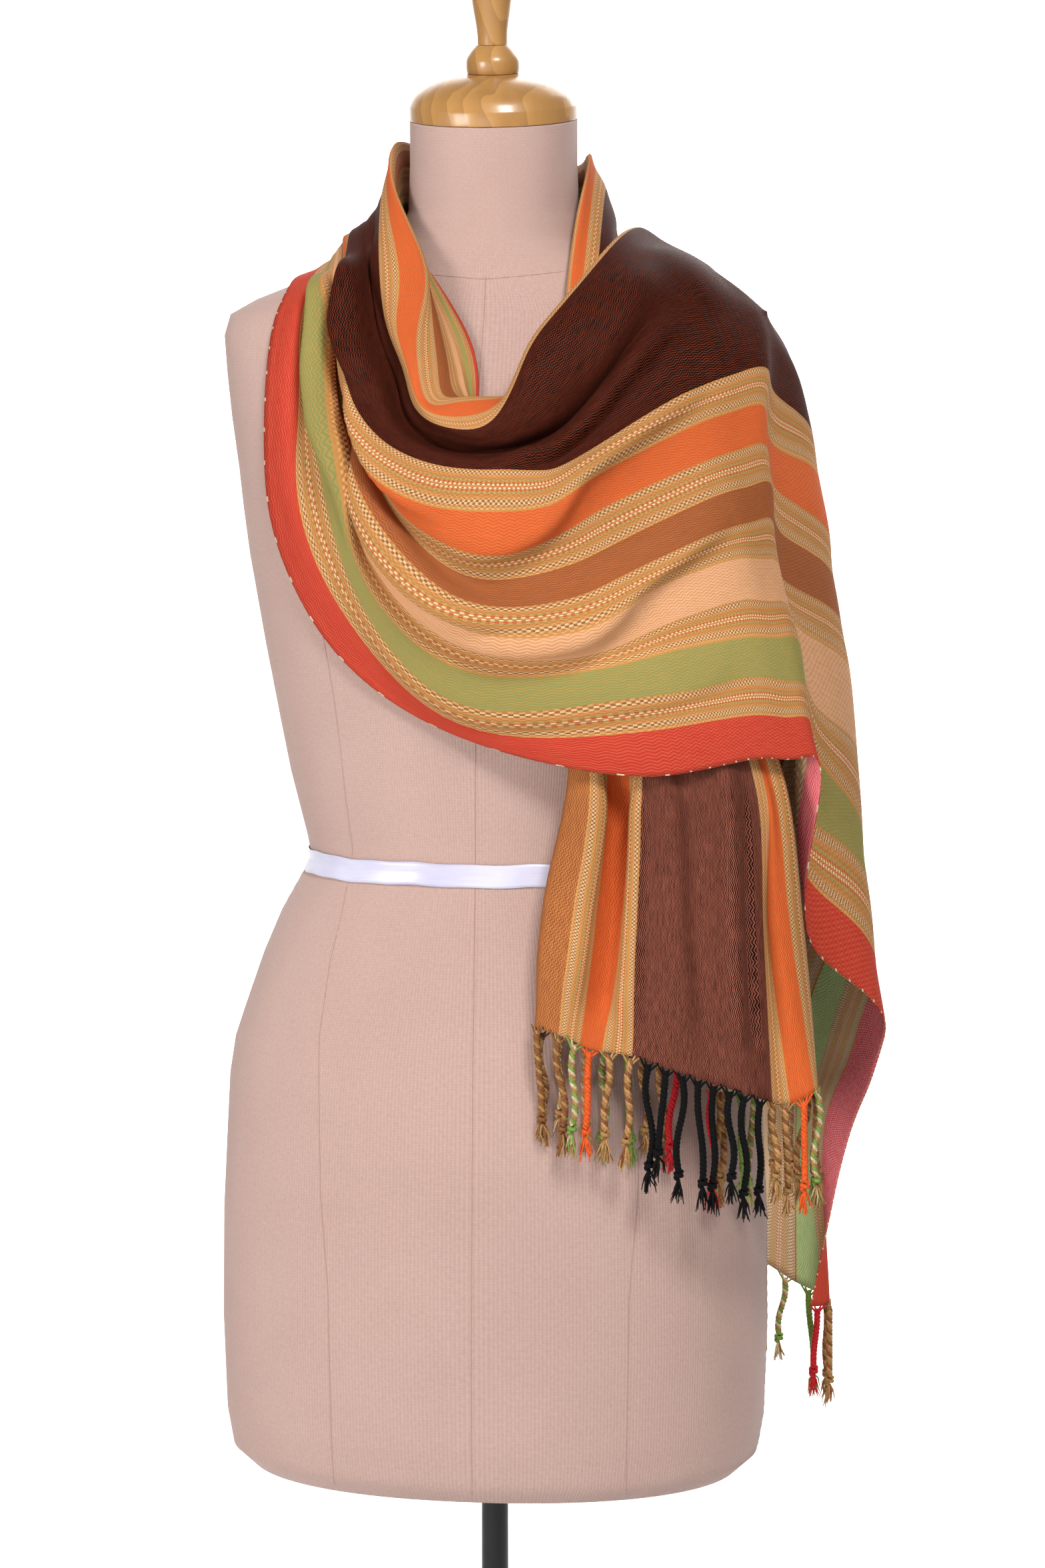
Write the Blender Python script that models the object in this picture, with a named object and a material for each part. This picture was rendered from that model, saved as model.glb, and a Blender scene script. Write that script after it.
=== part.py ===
"""A shawl draped on a limbless dress form that stands on a pole and a round base.

The form is lofted from a table of sections. The shawl is one long cloth: its front tail
rises under the swag, passes behind the neck, sweeps across the chest and falls behind the
other shoulder. Each stretch that shows is a thin wall through a net of fold lines, and every
fold line keeps its place across the cloth, so the stripes of the weave follow the folds.
Sizes are in millimetres until an object is made. Front is -Y, up is +Z.
"""
import math

import bmesh
import bpy
import numpy as np

MM = 0.001

# Stand
BASE_RADIUS = 185.0
BASE_HEIGHT = 14.0
BASE_BEVEL = 3.0
SOCKET_RADIUS = 19.0
SOCKET_HEIGHT = 34.0
POLE_RADIUS = 9.1
TOUCH_GAP = 0.3

# Dress form
FORM_SIDES = 28
FORM_POWER = 2.2
TORSO_BOTTOM = 430.0
NECK_TOP = 1339.0
NECK_TILT = math.radians(9.0)
TILT_START = 1262.0
TILT_END = 1330.0
BUST_SIDE = 72.0
BUST_HEIGHT = 1082.0
BUST_RISE = 9.0
BUST_SPREAD = 25.0
TAPE_BOTTOM = 842.0
TAPE_TOP = 857.0
TAPE_GAP = 0.35
TAPE_THICKNESS = 0.9

# Turned wood on the neck: radius, height above the neck's tilted top
CAP_PROFILE = ((55.5, 0.3), (55.5, 9.0), (51.0, 17.0), (41.0, 24.0), (28.0, 28.5), (16.0, 30.0))
COLLAR_PROFILE = ((16.8, 0.0), (17.6, 3.0), (17.2, 9.0), (14.0, 14.0), (10.4, 18.0))
FINIAL_PROFILE = ((9.8, 0.0), (10.2, 9.0), (12.2, 22.0), (13.4, 32.0), (12.8, 40.0), (9.0, 46.0), (4.0, 48.5))
TURNED_SIDES = 24

# Cloth
SHAWL_WIDTH = 700.0
WALL = 1.5
ROW_DIVISIONS = 2
CHEST_DIVISIONS = (2,) * 14
LOOP_DIVISIONS = (3, 3, 3, 3, 3, 2, 2, 5)
TAIL_DIVISIONS = (2, 3, 2)
FALL_DIVISIONS = (4, 4, 4)
SEAM_GAP = 1.4
SIDE_GAP = 1.5
FOLD_GAP = 1.0

# How far each stretch stays off the form: place across the cloth, distance where it lies on
# the form, distance where it lies over the first pass (left of the neck is -X)
UNDER_START = 15.0
UNDER_END = 45.0
SWAG_LAYERS = ((0.0, 4.0, 13.0), (264.0, 4.0, 16.0), (340.0, 6.0, 18.0))
COWL_LAYERS = ((340.0, 8.0, 17.0), (436.0, 17.0, 18.0), (462.0, 16.0, 15.0), (489.0, 13.5, 13.0),
               (520.0, 9.5, 12.5), (565.0, 8.5, 12.0), (634.0, 6.8, 12.0), (700.0, 4.0, 12.0))
LOOP_LAYERS = ((0.0, 4.5, 4.5), (264.0, 5.0, 5.0), (340.0, 5.5, 5.5), (400.0, 9.5, 9.5),
               (489.0, 9.0, 9.0), (515.0, 5.5, 5.5),
               (560.0, 4.0, 4.0), (700.0, 4.0, 4.0))
TAIL_LAYERS = ((0.0, 4.0, 4.0), (180.0, 4.0, 4.0), (215.0, 8.5, 8.5), (510.0, 8.5, 8.5), (545.0, 4.0, 4.0),
               (700.0, 4.0, 4.0))
FALL_LAYERS = ((0.0, 4.0, 8.0), (340.0, 5.0, 14.0), (700.0, 5.0, 14.0))

# Fringe
TASSELS_PER_END = 36
ROOT_WIDTH = 3.4
STRIP_HEIGHT = 2.2
FRONT_HEM_GAP = 0.5
BACK_HEM_GAP = 1.6
TASSEL_SWAY = 0.6
# drop below the strip, half the diagonal of the twisted rope
TASSEL_SHAPE = ((54.0, 2.5), (59.0, 3.5), (74.0, 2.8))
# node, first tassel, number of tassels, distance off the form
FRONT_FRINGES = (
    ("fringe_right_fold", 0, 10, 7.0),
    ("fringe_front", 10, 17, 18.0),
    ("fringe_left_fold", 27, 9, 7.0),
)
BACK_FRINGES = (("fringe_back", 0, 36, 8.0),)

# Dress form sections: height, half width, depth in front, depth behind
FORM_SECTIONS = (
    (430.0, 150.0, 92.0, 92.0),
    (434.0, 167.0, 104.0, 106.0),
    (446.0, 180.0, 113.0, 116.0),
    (470.0, 184.0, 117.0, 121.0),
    (534.0, 186.0, 120.0, 126.0),
    (609.0, 185.0, 120.0, 131.0),
    (665.0, 182.0, 118.0, 132.0),
    (702.0, 180.0, 115.0, 128.0),
    (727.0, 176.0, 112.0, 122.0),
    (748.0, 169.0, 108.0, 116.0),
    (785.0, 156.0, 101.0, 104.0),
    (813.0, 144.0, 96.0, 96.0),
    (836.0, 131.0, 92.0, 90.0),
    (850.0, 123.0, 90.0, 86.0),
    (865.0, 126.0, 90.0, 86.0),
    (909.0, 137.0, 94.0, 92.0),
    (940.0, 143.0, 98.0, 97.0),
    (994.0, 153.0, 106.0, 103.0),
    (1053.0, 163.0, 114.0, 108.0),
    (1084.0, 167.0, 116.0, 110.0),
    (1111.0, 170.0, 112.0, 112.0),
    (1146.0, 175.0, 102.0, 112.0),
    (1173.0, 178.0, 90.0, 108.0),
    (1198.0, 180.0, 76.0, 98.0),
    (1212.0, 176.0, 68.0, 90.0),
    (1222.0, 158.0, 64.0, 82.0),
    (1232.0, 132.0, 61.0, 74.0),
    (1242.0, 102.0, 58.0, 67.0),
    (1252.0, 76.0, 57.0, 61.0),
    (1262.0, 62.0, 56.0, 58.0),
    (1280.0, 56.0, 55.0, 56.0),
    (1310.0, 55.0, 54.0, 55.0),
    (1339.0, 55.0, 54.0, 55.0),
)

# Fold lines of the swag, from its outer edge inward: name, place across the cloth, then x, y, z
# at the shoulder crest, before it, at the collar, upper chest, side chest, low chest, left bowl,
# bowl, right bowl, near the arm, two before the arm, hanging ridge, tuck and side
SWAG_FOLDS = (
    ("edge", 0.0, ((-123, 6, 1239), (-127, -17, 1232), (-132, -41, 1222), (-139, -54, 1199),
                   (-141, -68, 1149), (-135, -76, 1074), (-96, -91, 996), (-16, -104, 941), (95, -128, 919),
                   (144, -124, 924), (182, -114, 931), (204, -104, 928), (224, -92, 925), (208, -35, 808),
                   (262, 25, 738))),
    ("red ridge", 13.0, ((-117, 6, 1243), (-119, -22, 1236), (-122, -52, 1225), (-126, -72, 1199),
                         (-126, -90, 1152), (-123, -96, 1079), (-89, -100, 1007), (-15, -107, 943),
                         (92, -131, 933), (141, -127, 940), (181, -117, 946), (202, -107, 942),
                         (220, -95, 938), (206, -38, 832), (259, 24, 760))),
    ("red band", 26.0, ((-113, 6, 1247), (-114, -21, 1239), (-116, -50, 1228), (-119, -71, 1199),
                        (-116, -89, 1155), (-116, -103, 1086), (-84, -106, 1016), (-13, -109, 945),
                        (88, -131, 947), (138, -128, 954), (180, -118, 960), (200, -108, 956),
                        (217, -96, 952), (204, -42, 857), (256, 22, 783))),
    ("shoulder dip", 40.0, ((-110, 6, 1249), (-111, -20, 1241), (-112, -49, 1229), (-116, -65, 1198),
                            (-113, -83, 1157), (-106, -107, 1091), (-79, -110, 1023), (-13, -114, 952),
                            (86, -132, 958), (135, -129, 965), (178, -119, 972), (198, -109, 968),
                            (214, -96, 963), (202, -46, 876), (253, 21, 813))),
    ("green edge", 53.0, ((-108, 6, 1251), (-108, -21, 1242), (-108, -51, 1230), (-111, -75, 1198),
                          (-109, -92, 1158), (-96, -116, 1097), (-75, -116, 1029), (-12, -118, 959),
                          (83, -133, 969), (132, -130, 975), (178, -120, 985), (197, -110, 980),
                          (212, -96, 975), (201, -50, 900), (249, 20, 843))),
    ("green ridge", 79.0, ((-106, 6, 1254), (-105, -23, 1244), (-104, -56, 1230), (-101, -81, 1198),
                           (-98, -99, 1160), (-87, -122, 1106), (-69, -120, 1037), (-9, -121, 983),
                           (77, -131, 988), (125, -130, 1001), (173, -120, 1010), (192, -110, 1008),
                           (207, -95, 1006), (212, -60, 936), (246, 18, 873))),
    ("first pleat", 110.0, ((-104, 6, 1257), (-102, -22, 1247), (-100, -53, 1232), (-101, -69, 1197),
                            (-97, -86, 1160), (-85, -108, 1109), (-62, -116, 1046), (-5, -123, 999),
                            (72, -129, 996), (117, -131, 1018), (168, -119, 1036), (185, -107, 1033),
                            (199, -91, 1030), (211, -66, 970), (242, 16, 932))),
    ("peach ridge", 132.0, ((-103, 6, 1259), (-100, -23, 1248), (-97, -54, 1232), (-97, -70, 1197),
                            (-93, -88, 1161), (-79, -114, 1112), (-58, -127, 1055), (-1, -138, 1016),
                            (70, -138, 1016), (106, -134, 1038), (164, -118, 1059), (180, -105, 1058),
                            (193, -87, 1056), (198, -72, 1018), (236, 14, 979))),
    ("brown edge", 158.0, ((-102, 6, 1261), (-98, -24, 1249), (-94, -57, 1232), (-93, -74, 1197),
                           (-89, -93, 1161), (-75, -123, 1116), (-48, -138, 1069), (0, -139, 1026),
                           (66, -139, 1033), (98, -136, 1049), (158, -116, 1076), (175, -101, 1080),
                           (189, -82, 1082), (191, -70, 1045), (231, 12, 1010))),
    ("second pleat", 190.0, ((-101, 6, 1263), (-96, -26, 1250), (-92, -61, 1232), (-92, -78, 1197),
                             (-87, -99, 1162), (-69, -120, 1120), (-43, -131, 1078), (2, -135, 1046),
                             (59, -137, 1057), (87, -136, 1071), (150, -113, 1101), (170, -97, 1106),
                             (186, -77, 1110), (188, -66, 1080), (225, 10, 1046))),
    ("orange edge", 215.0, ((-100, 6, 1265), (-95, -29, 1251), (-91, -66, 1232), (-92, -83, 1197),
                            (-86, -104, 1162), (-67, -123, 1122), (-40, -141, 1083), (6, -145, 1066),
                            (55, -142, 1076), (76, -138, 1091), (142, -109, 1121), (165, -92, 1129),
                            (184, -71, 1134), (186, -60, 1105), (221, 8, 1072))),
    ("orange top", 240.0, ((-98, 6, 1267), (-94, -31, 1252), (-91, -71, 1232), (-93, -89, 1197),
                           (-86, -109, 1162), (-66, -130, 1123), (-32, -144, 1095), (10, -150, 1092),
                           (49, -144, 1094), (69, -139, 1108), (137, -104, 1144), (162, -86, 1152),
                           (183, -63, 1158), (185, -52, 1133), (213, 6, 1114))),
    ("dark edge", 264.0, ((-96, 6, 1269), (-93, -34, 1253), (-90, -76, 1232), (-94, -93, 1198),
                          (-77, -116, 1165), (-56, -133, 1131), (-20, -141, 1117), (13, -145, 1115),
                          (44, -142, 1115), (61, -138, 1117), (133, -99, 1162), (160, -80, 1172),
                          (182, -55, 1179), (185, -42, 1163), (209, 4, 1140))),
    ("dark ridge", 300.0, ((-91, 6, 1271), (-87, -35, 1254), (-82, -79, 1233), (-79, -100, 1199),
                           (-63, -118, 1169), (-48, -129, 1137), (-17, -135, 1123), (12, -137, 1120),
                           (40, -132, 1124), (63, -132, 1133), (120, -92, 1191), (150, -67, 1199),
                           (177, -36, 1204), (184, -22, 1195), (201, 6, 1170))),
    ("deep fold", 340.0, ((-86, 6, 1275), (-81.5, -30, 1256), (-74, -68, 1234), (-67, -87, 1201),
                          (-55, -103, 1173), (-44, -112, 1140), (-18, -117, 1123), (10, -120, 1122),
                          (38, -116, 1128), (64, -117, 1144), (113, -84, 1211), (139, -52, 1219),
                          (161, -14, 1224), (171, 0, 1221), (193, 14, 1190))),
)

# Fold lines of the cowl, from the deep fold to the inner edge, at the same stations
COWL_FOLDS = (
    ("deep fold", 340.0, ((-86, 6, 1275), (-81.5, -30, 1256.5), (-74, -68, 1235), (-67, -87, 1203),
                          (-55, -103, 1176), (-46, -111, 1143), (-18, -120, 1129), (10, -123, 1129),
                          (38, -119, 1134), (64, -118, 1149), (113, -84, 1213), (139, -52, 1221),
                          (161, -14, 1227), (171, 0, 1224), (194, 14, 1192))),
    ("roll under", 372.0, ((-81, 8, 1282), (-77, -27, 1262), (-71, -62, 1238), (-65, -77, 1204),
                           (-52, -93, 1176), (-43, -104, 1146), (-20, -126, 1135), (12, -133, 1130),
                           (38, -134, 1135), (62, -134, 1154), (105, -92, 1219), (122, -51, 1237),
                           (134, -4, 1244), (150, 14, 1238), (182, 46, 1198))),
    ("roll crest", 405.0, ((-76, 10, 1289), (-73.5, -28.5, 1267), (-69, -66, 1240), (-62, -80, 1205),
                           (-50, -97, 1177), (-40, -109, 1149), (-18, -131, 1137), (13, -139, 1132),
                           (34, -143, 1149), (53, -139, 1174), (84, -99, 1224), (99, -52, 1249),
                           (109, 2, 1257), (124, 26, 1250), (160, 74, 1208))),
    ("collar edge", 436.0, ((-73, 12, 1301), (-71.5, -33, 1272), (-66, -76, 1239), (-60, -91, 1205),
                            (-47, -107, 1178), (-38, -118, 1151), (-15, -134, 1140), (12, -140, 1141),
                            (28, -136, 1167), (37, -127, 1195), (64, -94, 1231), (84, -50, 1259),
                            (94, 6, 1270), (106, 36, 1262), (138, 92, 1214))),
    ("orange edge", 462.0, ((-71, 16, 1314), (-66, -38, 1279), (-53, -83, 1238), (-54, -99, 1204),
                            (-43, -114, 1178), (-33, -125, 1153), (-12, -131, 1145), (13, -134, 1150),
                            (25, -124, 1166), (36, -116, 1191), (62, -87, 1228), (81, -47, 1257),
                            (91, 4, 1267), (103, 39, 1260), (126, 98, 1208))),
    ("orange top", 489.0, ((-68, 22, 1327), (-60, -37, 1288), (-33, -80, 1239), (-38, -99, 1204),
                           (-37, -114, 1178), (-29, -123, 1154), (-10, -121, 1158), (13, -122, 1160),
                           (26, -115, 1163), (39, -108, 1188), (64, -84, 1224), (82, -45, 1253.5),
                           (90, 3, 1263.5), (100, 41, 1258), (116, 103, 1202))),
    ("brown strip", 520.0, ((-64.5, 22, 1319), (-56, -32, 1282), (-36, -75, 1241), (-28, -93, 1206),
                            (-22, -108, 1180), (-19, -117, 1161), (-7, -114, 1158), (13, -115, 1158),
                            (27, -109, 1160), (42, -102, 1185), (67, -82, 1221), (84, -43, 1249),
                            (91, 2, 1260.5), (99, 42, 1258), (106, 107, 1196))),
    ("collar dip", 565.0, ((-63.5, 20, 1300), (-55, -29, 1275), (-40, -70, 1242), (-24, -84, 1206),
                           (-15, -98, 1181), (-10, -107, 1164), (-3, -108, 1155), (14, -109, 1155),
                           (29, -104, 1157), (44, -101, 1181), (71, -81, 1218), (88, -42, 1247),
                           (91.5, 1.2, 1259), (96.5, 44, 1254.5), (96, 114, 1192))),
    ("green strip", 634.0, ((-62, 15, 1284), (-53.5, -28, 1267), (-38, -66, 1240), (-16, -84, 1202),
                            (-7, -96, 1178), (-4, -103, 1160), (1, -104, 1152), (16, -105, 1151),
                            (31, -101, 1153), (47, -99, 1177), (75, -80, 1215), (92, -42, 1245),
                            (92.8, 0.3, 1257.2), (91.5, 48, 1251.5), (84, 119, 1186))),
    ("inner edge", 700.0, ((-64, 10, 1268), (-55, -30, 1259), (-32, -61, 1235), (-8, -79, 1199),
                           (0, -93, 1174), (1, -100, 1157), (5, -101, 1148), (18, -102, 1146),
                           (33, -98, 1149), (50, -98, 1172), (79, -80, 1212), (96, -42, 1243),
                           (94, -0.5, 1255.4), (86.5, 51, 1249), (74, 122, 1180))),
)

# Fold lines of the loop behind the neck, from the collar's shoulder crest round the back and
# down under the swag: back left, back middle, back right, right crest, right front, three on the chest
LOOP_FOLDS = (
    ("lower edge", 0.0, ((-98, 94, 1188), (-4, 118, 1128), (96, 92, 1186), (132, 12, 1236), (122, -40, 1219),
                         (122, -65, 1196), (122, -82, 1150), (140, -60, 997))),
    ("low fold", 80.0, ((-92, 92, 1204), (-4, 124, 1150), (91, 90, 1202), (124, 11, 1239), (114, -43, 1221),
                        (114, -68, 1196), (113, -86, 1150), (127, -72, 997))),
    ("low dip", 150.0, ((-87, 84, 1216), (-4, 114, 1176), (86, 83, 1214), (112, 10, 1241), (106, -45, 1223),
                        (105, -71, 1196), (104, -90, 1150), (115, -81, 997))),
    ("back fold", 264.0, ((-82, 82, 1232), (-4, 114, 1204), (79, 74, 1231), (95, 9, 1246), (96, -48, 1226),
                          (94, -74, 1196), (92, -95, 1150), (98, -92, 997))),
    ("back dip", 340.0, ((-75, 72, 1250), (-4, 98, 1232), (73, 66, 1247), (84, 9, 1252), (88, -50, 1228),
                         (86, -78, 1196), (83, -99, 1150), (84, -100, 997))),
    ("nape fold", 400.0, ((-68, 68, 1272), (-2, 92, 1258), (69, 68, 1264), (78, 8, 1276), (79, -54, 1231),
                          (78, -81, 1196), (75, -102, 1150), (73, -105, 997))),
    ("collar edge", 436.0, ((-62, 62, 1292), (-2, 82, 1282), (63, 62, 1282), (73, 7, 1295), (73, -60, 1236),
                            (71, -82, 1196), (69, -104, 1150), (65, -108, 997))),
    ("orange edge", 462.0, ((-57, 56, 1310), (-2, 74, 1302), (58, 56, 1297), (67, 7, 1307), (65, -64, 1239),
                            (64, -83, 1196), (62, -105, 1150), (58, -109, 997))),
    ("crest", 489.0, ((-52, 51, 1324), (-2, 67, 1318), (53, 51, 1311), (62, 5, 1317), (57, -66, 1240),
                      (56, -83, 1196), (54, -106, 1150), (50, -110, 997))),
    ("inner turn", 515.0, ((-47, 46, 1316), (-2, 63, 1310), (48, 46, 1302), (59, 2, 1304), (54, -60, 1239),
                           (53, -80, 1196), (52, -102, 1150), (48, -106, 997))),
    ("inner fold", 560.0, ((-46, 45, 1296), (-2, 62, 1292), (47, 45, 1288), (60, 0, 1286), (58, -57, 1238),
                           (58, -78, 1196), (57, -98, 1150), (55, -104, 997))),
    ("inner low", 634.0, ((-47, 47, 1276), (-2, 63, 1274), (48, 47, 1270), (62, -2, 1271), (63, -55, 1237),
                          (64, -77, 1196), (65, -96, 1150), (65, -101, 997))),
    ("inner edge", 700.0, ((-51, 53, 1264), (-2, 67, 1260), (52, 53, 1260), (66, -4, 1261), (68, -54, 1236),
                           (70, -77, 1196), (73, -94, 1150), (76, -98, 997))),
)

# Fold lines of the front tail: its top behind the swag, the swag's lower edge, hip and hem
TAIL_FOLDS = (
    ("outer edge", 0.0, ((120, -101, 996.3), (140, -92, 913), (145, -96, 820), (150, -100, 712))),
    ("behind right", 60.0, ((130, -89, 996.3), (150, -74, 913), (157, -76, 820), (165, -80, 708))),
    ("behind right middle", 110.0, ((144, -83, 996.3), (172, -66, 913), (180, -66, 820), (190, -68, 708))),
    ("behind right fold", 150.0, ((158, -83, 996.3), (192, -74, 913), (204, -74, 820), (214, -76, 712))),
    ("right fold", 195.0, ((165, -92, 996.3), (198, -92, 913), (210, -96, 816), (220, -98, 715))),
    ("orange edge", 211.0, ((156, -99, 996.3), (189, -98, 913), (202, -108, 818), (219, -108, 714))),
    ("orange top", 238.0, ((150, -100, 996.3), (184, -101, 913), (188, -104, 817), (202, -110, 707))),
    ("right dip", 264.0, ((146, -104, 996.3), (179, -105, 913), (185, -108, 818), (191, -114, 709))),
    ("dark ridge", 300.0, ((134, -113, 996.3), (165, -114, 915), (170, -124, 820), (175, -130, 717))),
    ("dark middle", 350.0, ((118, -116, 996.3), (142, -113, 915), (145, -122, 819), (150, -130, 725))),
    ("dark left", 400.0, ((103, -120, 996.3), (123, -117, 915), (124, -127, 820), (124, -135, 734))),
    ("dark edge", 436.0, ((93, -120, 996.3), (109, -114, 914), (107, -124, 819), (104, -134, 741))),
    ("orange side", 462.0, ((85, -118, 996.3), (100, -108, 913), (95, -120, 818), (84, -131, 743))),
    ("orange valley", 475.0, ((79, -114, 996.3), (92, -99, 912), (85, -115, 817), (76, -129, 743))),
    ("orange end", 489.0, ((72, -117, 996.3), (83, -107, 913), (77, -119, 826), (68, -131, 748))),
    ("brown ridge", 515.0, ((65, -121, 996.3), (77, -114, 914), (67, -124, 827), (58, -133, 753))),
    ("left fold", 534.0, ((52, -117, 996.3), (58, -108, 913), (46, -114, 842), (37, -124, 758))),
    ("behind left fold", 560.0, ((58, -110, 996.3), (66, -97, 913), (54, -103, 842), (48, -116, 752))),
    ("behind left", 620.0, ((75, -106, 996.3), (92, -88, 913), (90, -96, 830), (90, -108, 742))),
    ("inner edge", 700.0, ((97, -104, 996.3), (124, -82, 913), (126, -90, 826), (132, -100, 734))),
)

# Fold lines of the back fall, which starts at the swag's side: upper back, low back, hem
FALL_FOLDS = (
    ("outer edge", 0.0, ((256, 58, 694), (234, 88, 626), (214, 84, 522))),
    ("red band", 26.0, ((241, 78, 709), (222, 98, 643), (226, 96, 521))),
    ("green edge", 53.0, ((225, 95, 715), (211, 108, 650), (222, 113, 523))),
    ("green top", 79.0, ((211, 105, 736), (202, 112, 663), (202, 121, 530))),
    ("peach edge", 106.0, ((198, 112, 782), (187, 118, 676), (179, 118, 545))),
    ("peach top", 132.0, ((196, 106, 850), (180, 106, 700), (168, 106, 553))),
    ("brown edge", 158.0, ((190, 113, 900), (170, 121, 715), (160, 120, 560))),
    ("brown top", 190.0, ((184, 110, 940), (160, 108, 730), (148, 108, 567))),
    ("orange top", 228.0, ((170, 117, 972), (146, 125, 744), (136, 128, 574))),
    ("dark edge", 264.0, ((158, 110, 994), (130, 111, 755), (120, 117, 580))),
    ("dark ridge", 310.0, ((144, 121, 1012), (114, 128, 763), (104, 138, 586))),
    ("dark dip", 350.0, ((130, 112, 1026), (99, 114, 771), (87, 124, 592))),
    ("dark second ridge", 390.0, ((116, 124, 1036), (84, 131, 777), (70, 144, 598))),
    ("collar edge", 436.0, ((100, 114, 1044), (66, 117, 783), (52, 130, 604))),
    ("orange ridge", 480.0, ((85, 126, 1048), (48, 134, 788), (33, 149, 611))),
    ("brown dip", 528.0, ((68, 117, 1050), (28, 120, 793), (12, 134, 618))),
    ("peach ridge", 582.0, ((50, 127, 1053), (8, 137, 797), (-12, 150, 627))),
    ("green dip", 640.0, ((30, 118, 1056), (-15, 122, 801), (-38, 138, 635))),
    ("inner edge", 700.0, ((10, 121, 1060), (-38, 126, 807), (-64, 140, 643))),
)

FINISHES = {
    "form cloth": ((0.62, 0.45, 0.40), 0.9, 0.0),
    "turned wood": ((0.62, 0.42, 0.16), 0.4, 0.0),
    "black steel": ((0.02, 0.02, 0.022), 0.35, 0.6),
    "satin tape": ((0.85, 0.84, 0.9), 0.35, 0.0),
    "dark brown weave": ((0.12, 0.045, 0.025), 0.75, 0.0),
    "orange weave": ((0.75, 0.19, 0.04), 0.75, 0.0),
    "red weave": ((0.62, 0.06, 0.035), 0.75, 0.0),
    "tan weave": ((0.45, 0.27, 0.10), 0.75, 0.0),
    "green weave": ((0.28, 0.31, 0.10), 0.75, 0.0),
    "mixed cord": ((0.06, 0.03, 0.02), 0.85, 0.0),
}


def make_material(name):
    """Return the named finish as a Principled material."""
    colour, roughness, metallic = FINISHES[name]
    material = bpy.data.materials.get(name) or bpy.data.materials.new(name)
    material.use_nodes = True
    shader = material.node_tree.nodes["Principled BSDF"]
    shader.inputs["Base Color"].default_value = (*colour, 1.0)
    shader.inputs["Roughness"].default_value = roughness
    shader.inputs["Metallic"].default_value = metallic
    return material


def add_object(name, shape, finish, smooth=True):
    """Turn a bmesh in millimetres into a named object in metres."""
    bmesh.ops.scale(shape, vec=(MM, MM, MM), verts=shape.verts)
    mesh = bpy.data.meshes.new(name)
    shape.to_mesh(mesh)
    shape.free()
    mesh.materials.append(make_material(finish))
    if smooth:
        mesh.shade_smooth()
        mesh.set_sharp_from_angle(angle=math.radians(40.0))
    item = bpy.data.objects.new(name, mesh)
    bpy.context.scene.collection.objects.link(item)
    return item


def smooth_step(value, start, end):
    """Rise from 0 at start to 1 at end with soft ends."""
    part = np.clip((value - start) / (end - start), 0.0, 1.0)
    return part * part * (3.0 - 2.0 * part)


def section_at(height):
    """Half width, front depth and back depth of the form at a height."""
    table = np.array(FORM_SECTIONS)
    return [np.interp(height, table[:, 0], table[:, column]) for column in (1, 2, 3)]


def neck_lean(height):
    """Slope of the form's level rings, which lean forward towards the neck's top."""
    return math.tan(NECK_TILT) * smooth_step(height, TILT_START, TILT_END)


def bust_rise(across, height):
    """How far the bust stands proud of the plain section."""
    rise = 0.0
    for side in (-BUST_SIDE, BUST_SIDE):
        spread = (across - side) ** 2 + (height - BUST_HEIGHT) ** 2
        rise = rise + BUST_RISE * np.exp(-spread / (2.0 * BUST_SPREAD ** 2))
    return rise


def form_point(angle, height, proud=0.0):
    """A point of the form's skin, at an angle from its left side, moved out by proud."""
    half_width, front, back = section_at(height)
    across = math.cos(angle)
    along = math.sin(angle)
    depth = back if along > 0.0 else front
    x = (half_width + proud) * math.copysign(abs(across) ** (2.0 / FORM_POWER), across)
    y = (depth + proud) * math.copysign(abs(along) ** (2.0 / FORM_POWER), along)
    if along < 0.0:
        y -= bust_rise(x, height)
    return x, y, height + y * neck_lean(height)


def form_reach(points):
    """Level distance from the form's skin to each point, negative inside."""
    x, y, z = points[..., 0], points[..., 1], points[..., 2]
    level = z - y * neck_lean(z)
    half_width, front, back = section_at(level)
    depth = np.where(y > 0.0, back, front)
    inward = np.where(y > 0.0, y, np.minimum(y + bust_rise(x, level), 0.0))
    scale = (np.abs(x / half_width) ** FORM_POWER + np.abs(inward / depth) ** FORM_POWER) ** (1.0 / FORM_POWER)
    scale = np.maximum(scale, 0.05)
    return np.hypot(x, inward) * (1.0 - 1.0 / scale)


def clear_of_form(points, clearance, rounds=8):
    """Move points that are too near the form out along its slope."""
    points = points.copy()
    probe = 0.5
    for _ in range(rounds):
        reach = form_reach(points)
        slope = np.stack([(form_reach(points + step) - form_reach(points - step)) / (2.0 * probe)
                          for step in np.eye(3) * probe], axis=-1)
        steepness = np.maximum(np.linalg.norm(slope, axis=-1), 1.0)
        short = np.clip(clearance - reach / steepness, 0.0, 12.0)
        points += slope / steepness[..., None] * short[..., None]
    return points


def layer_clearance(layers, across, points):
    """Distance each point keeps off the form, from a table of layers."""
    table = np.array(layers)
    plain = np.interp(across, table[:, 0], table[:, 1])
    over = np.interp(across, table[:, 0], table[:, 2])
    return plain + (over - plain) * smooth_step(points[..., 0], UNDER_START, UNDER_END)


def trimmed(line, inner, gap):
    """A line moved towards its neighbour by a gap."""
    step = inner - line
    return line + step * (gap / np.maximum(np.linalg.norm(step, axis=-1, keepdims=True), gap))


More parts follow.
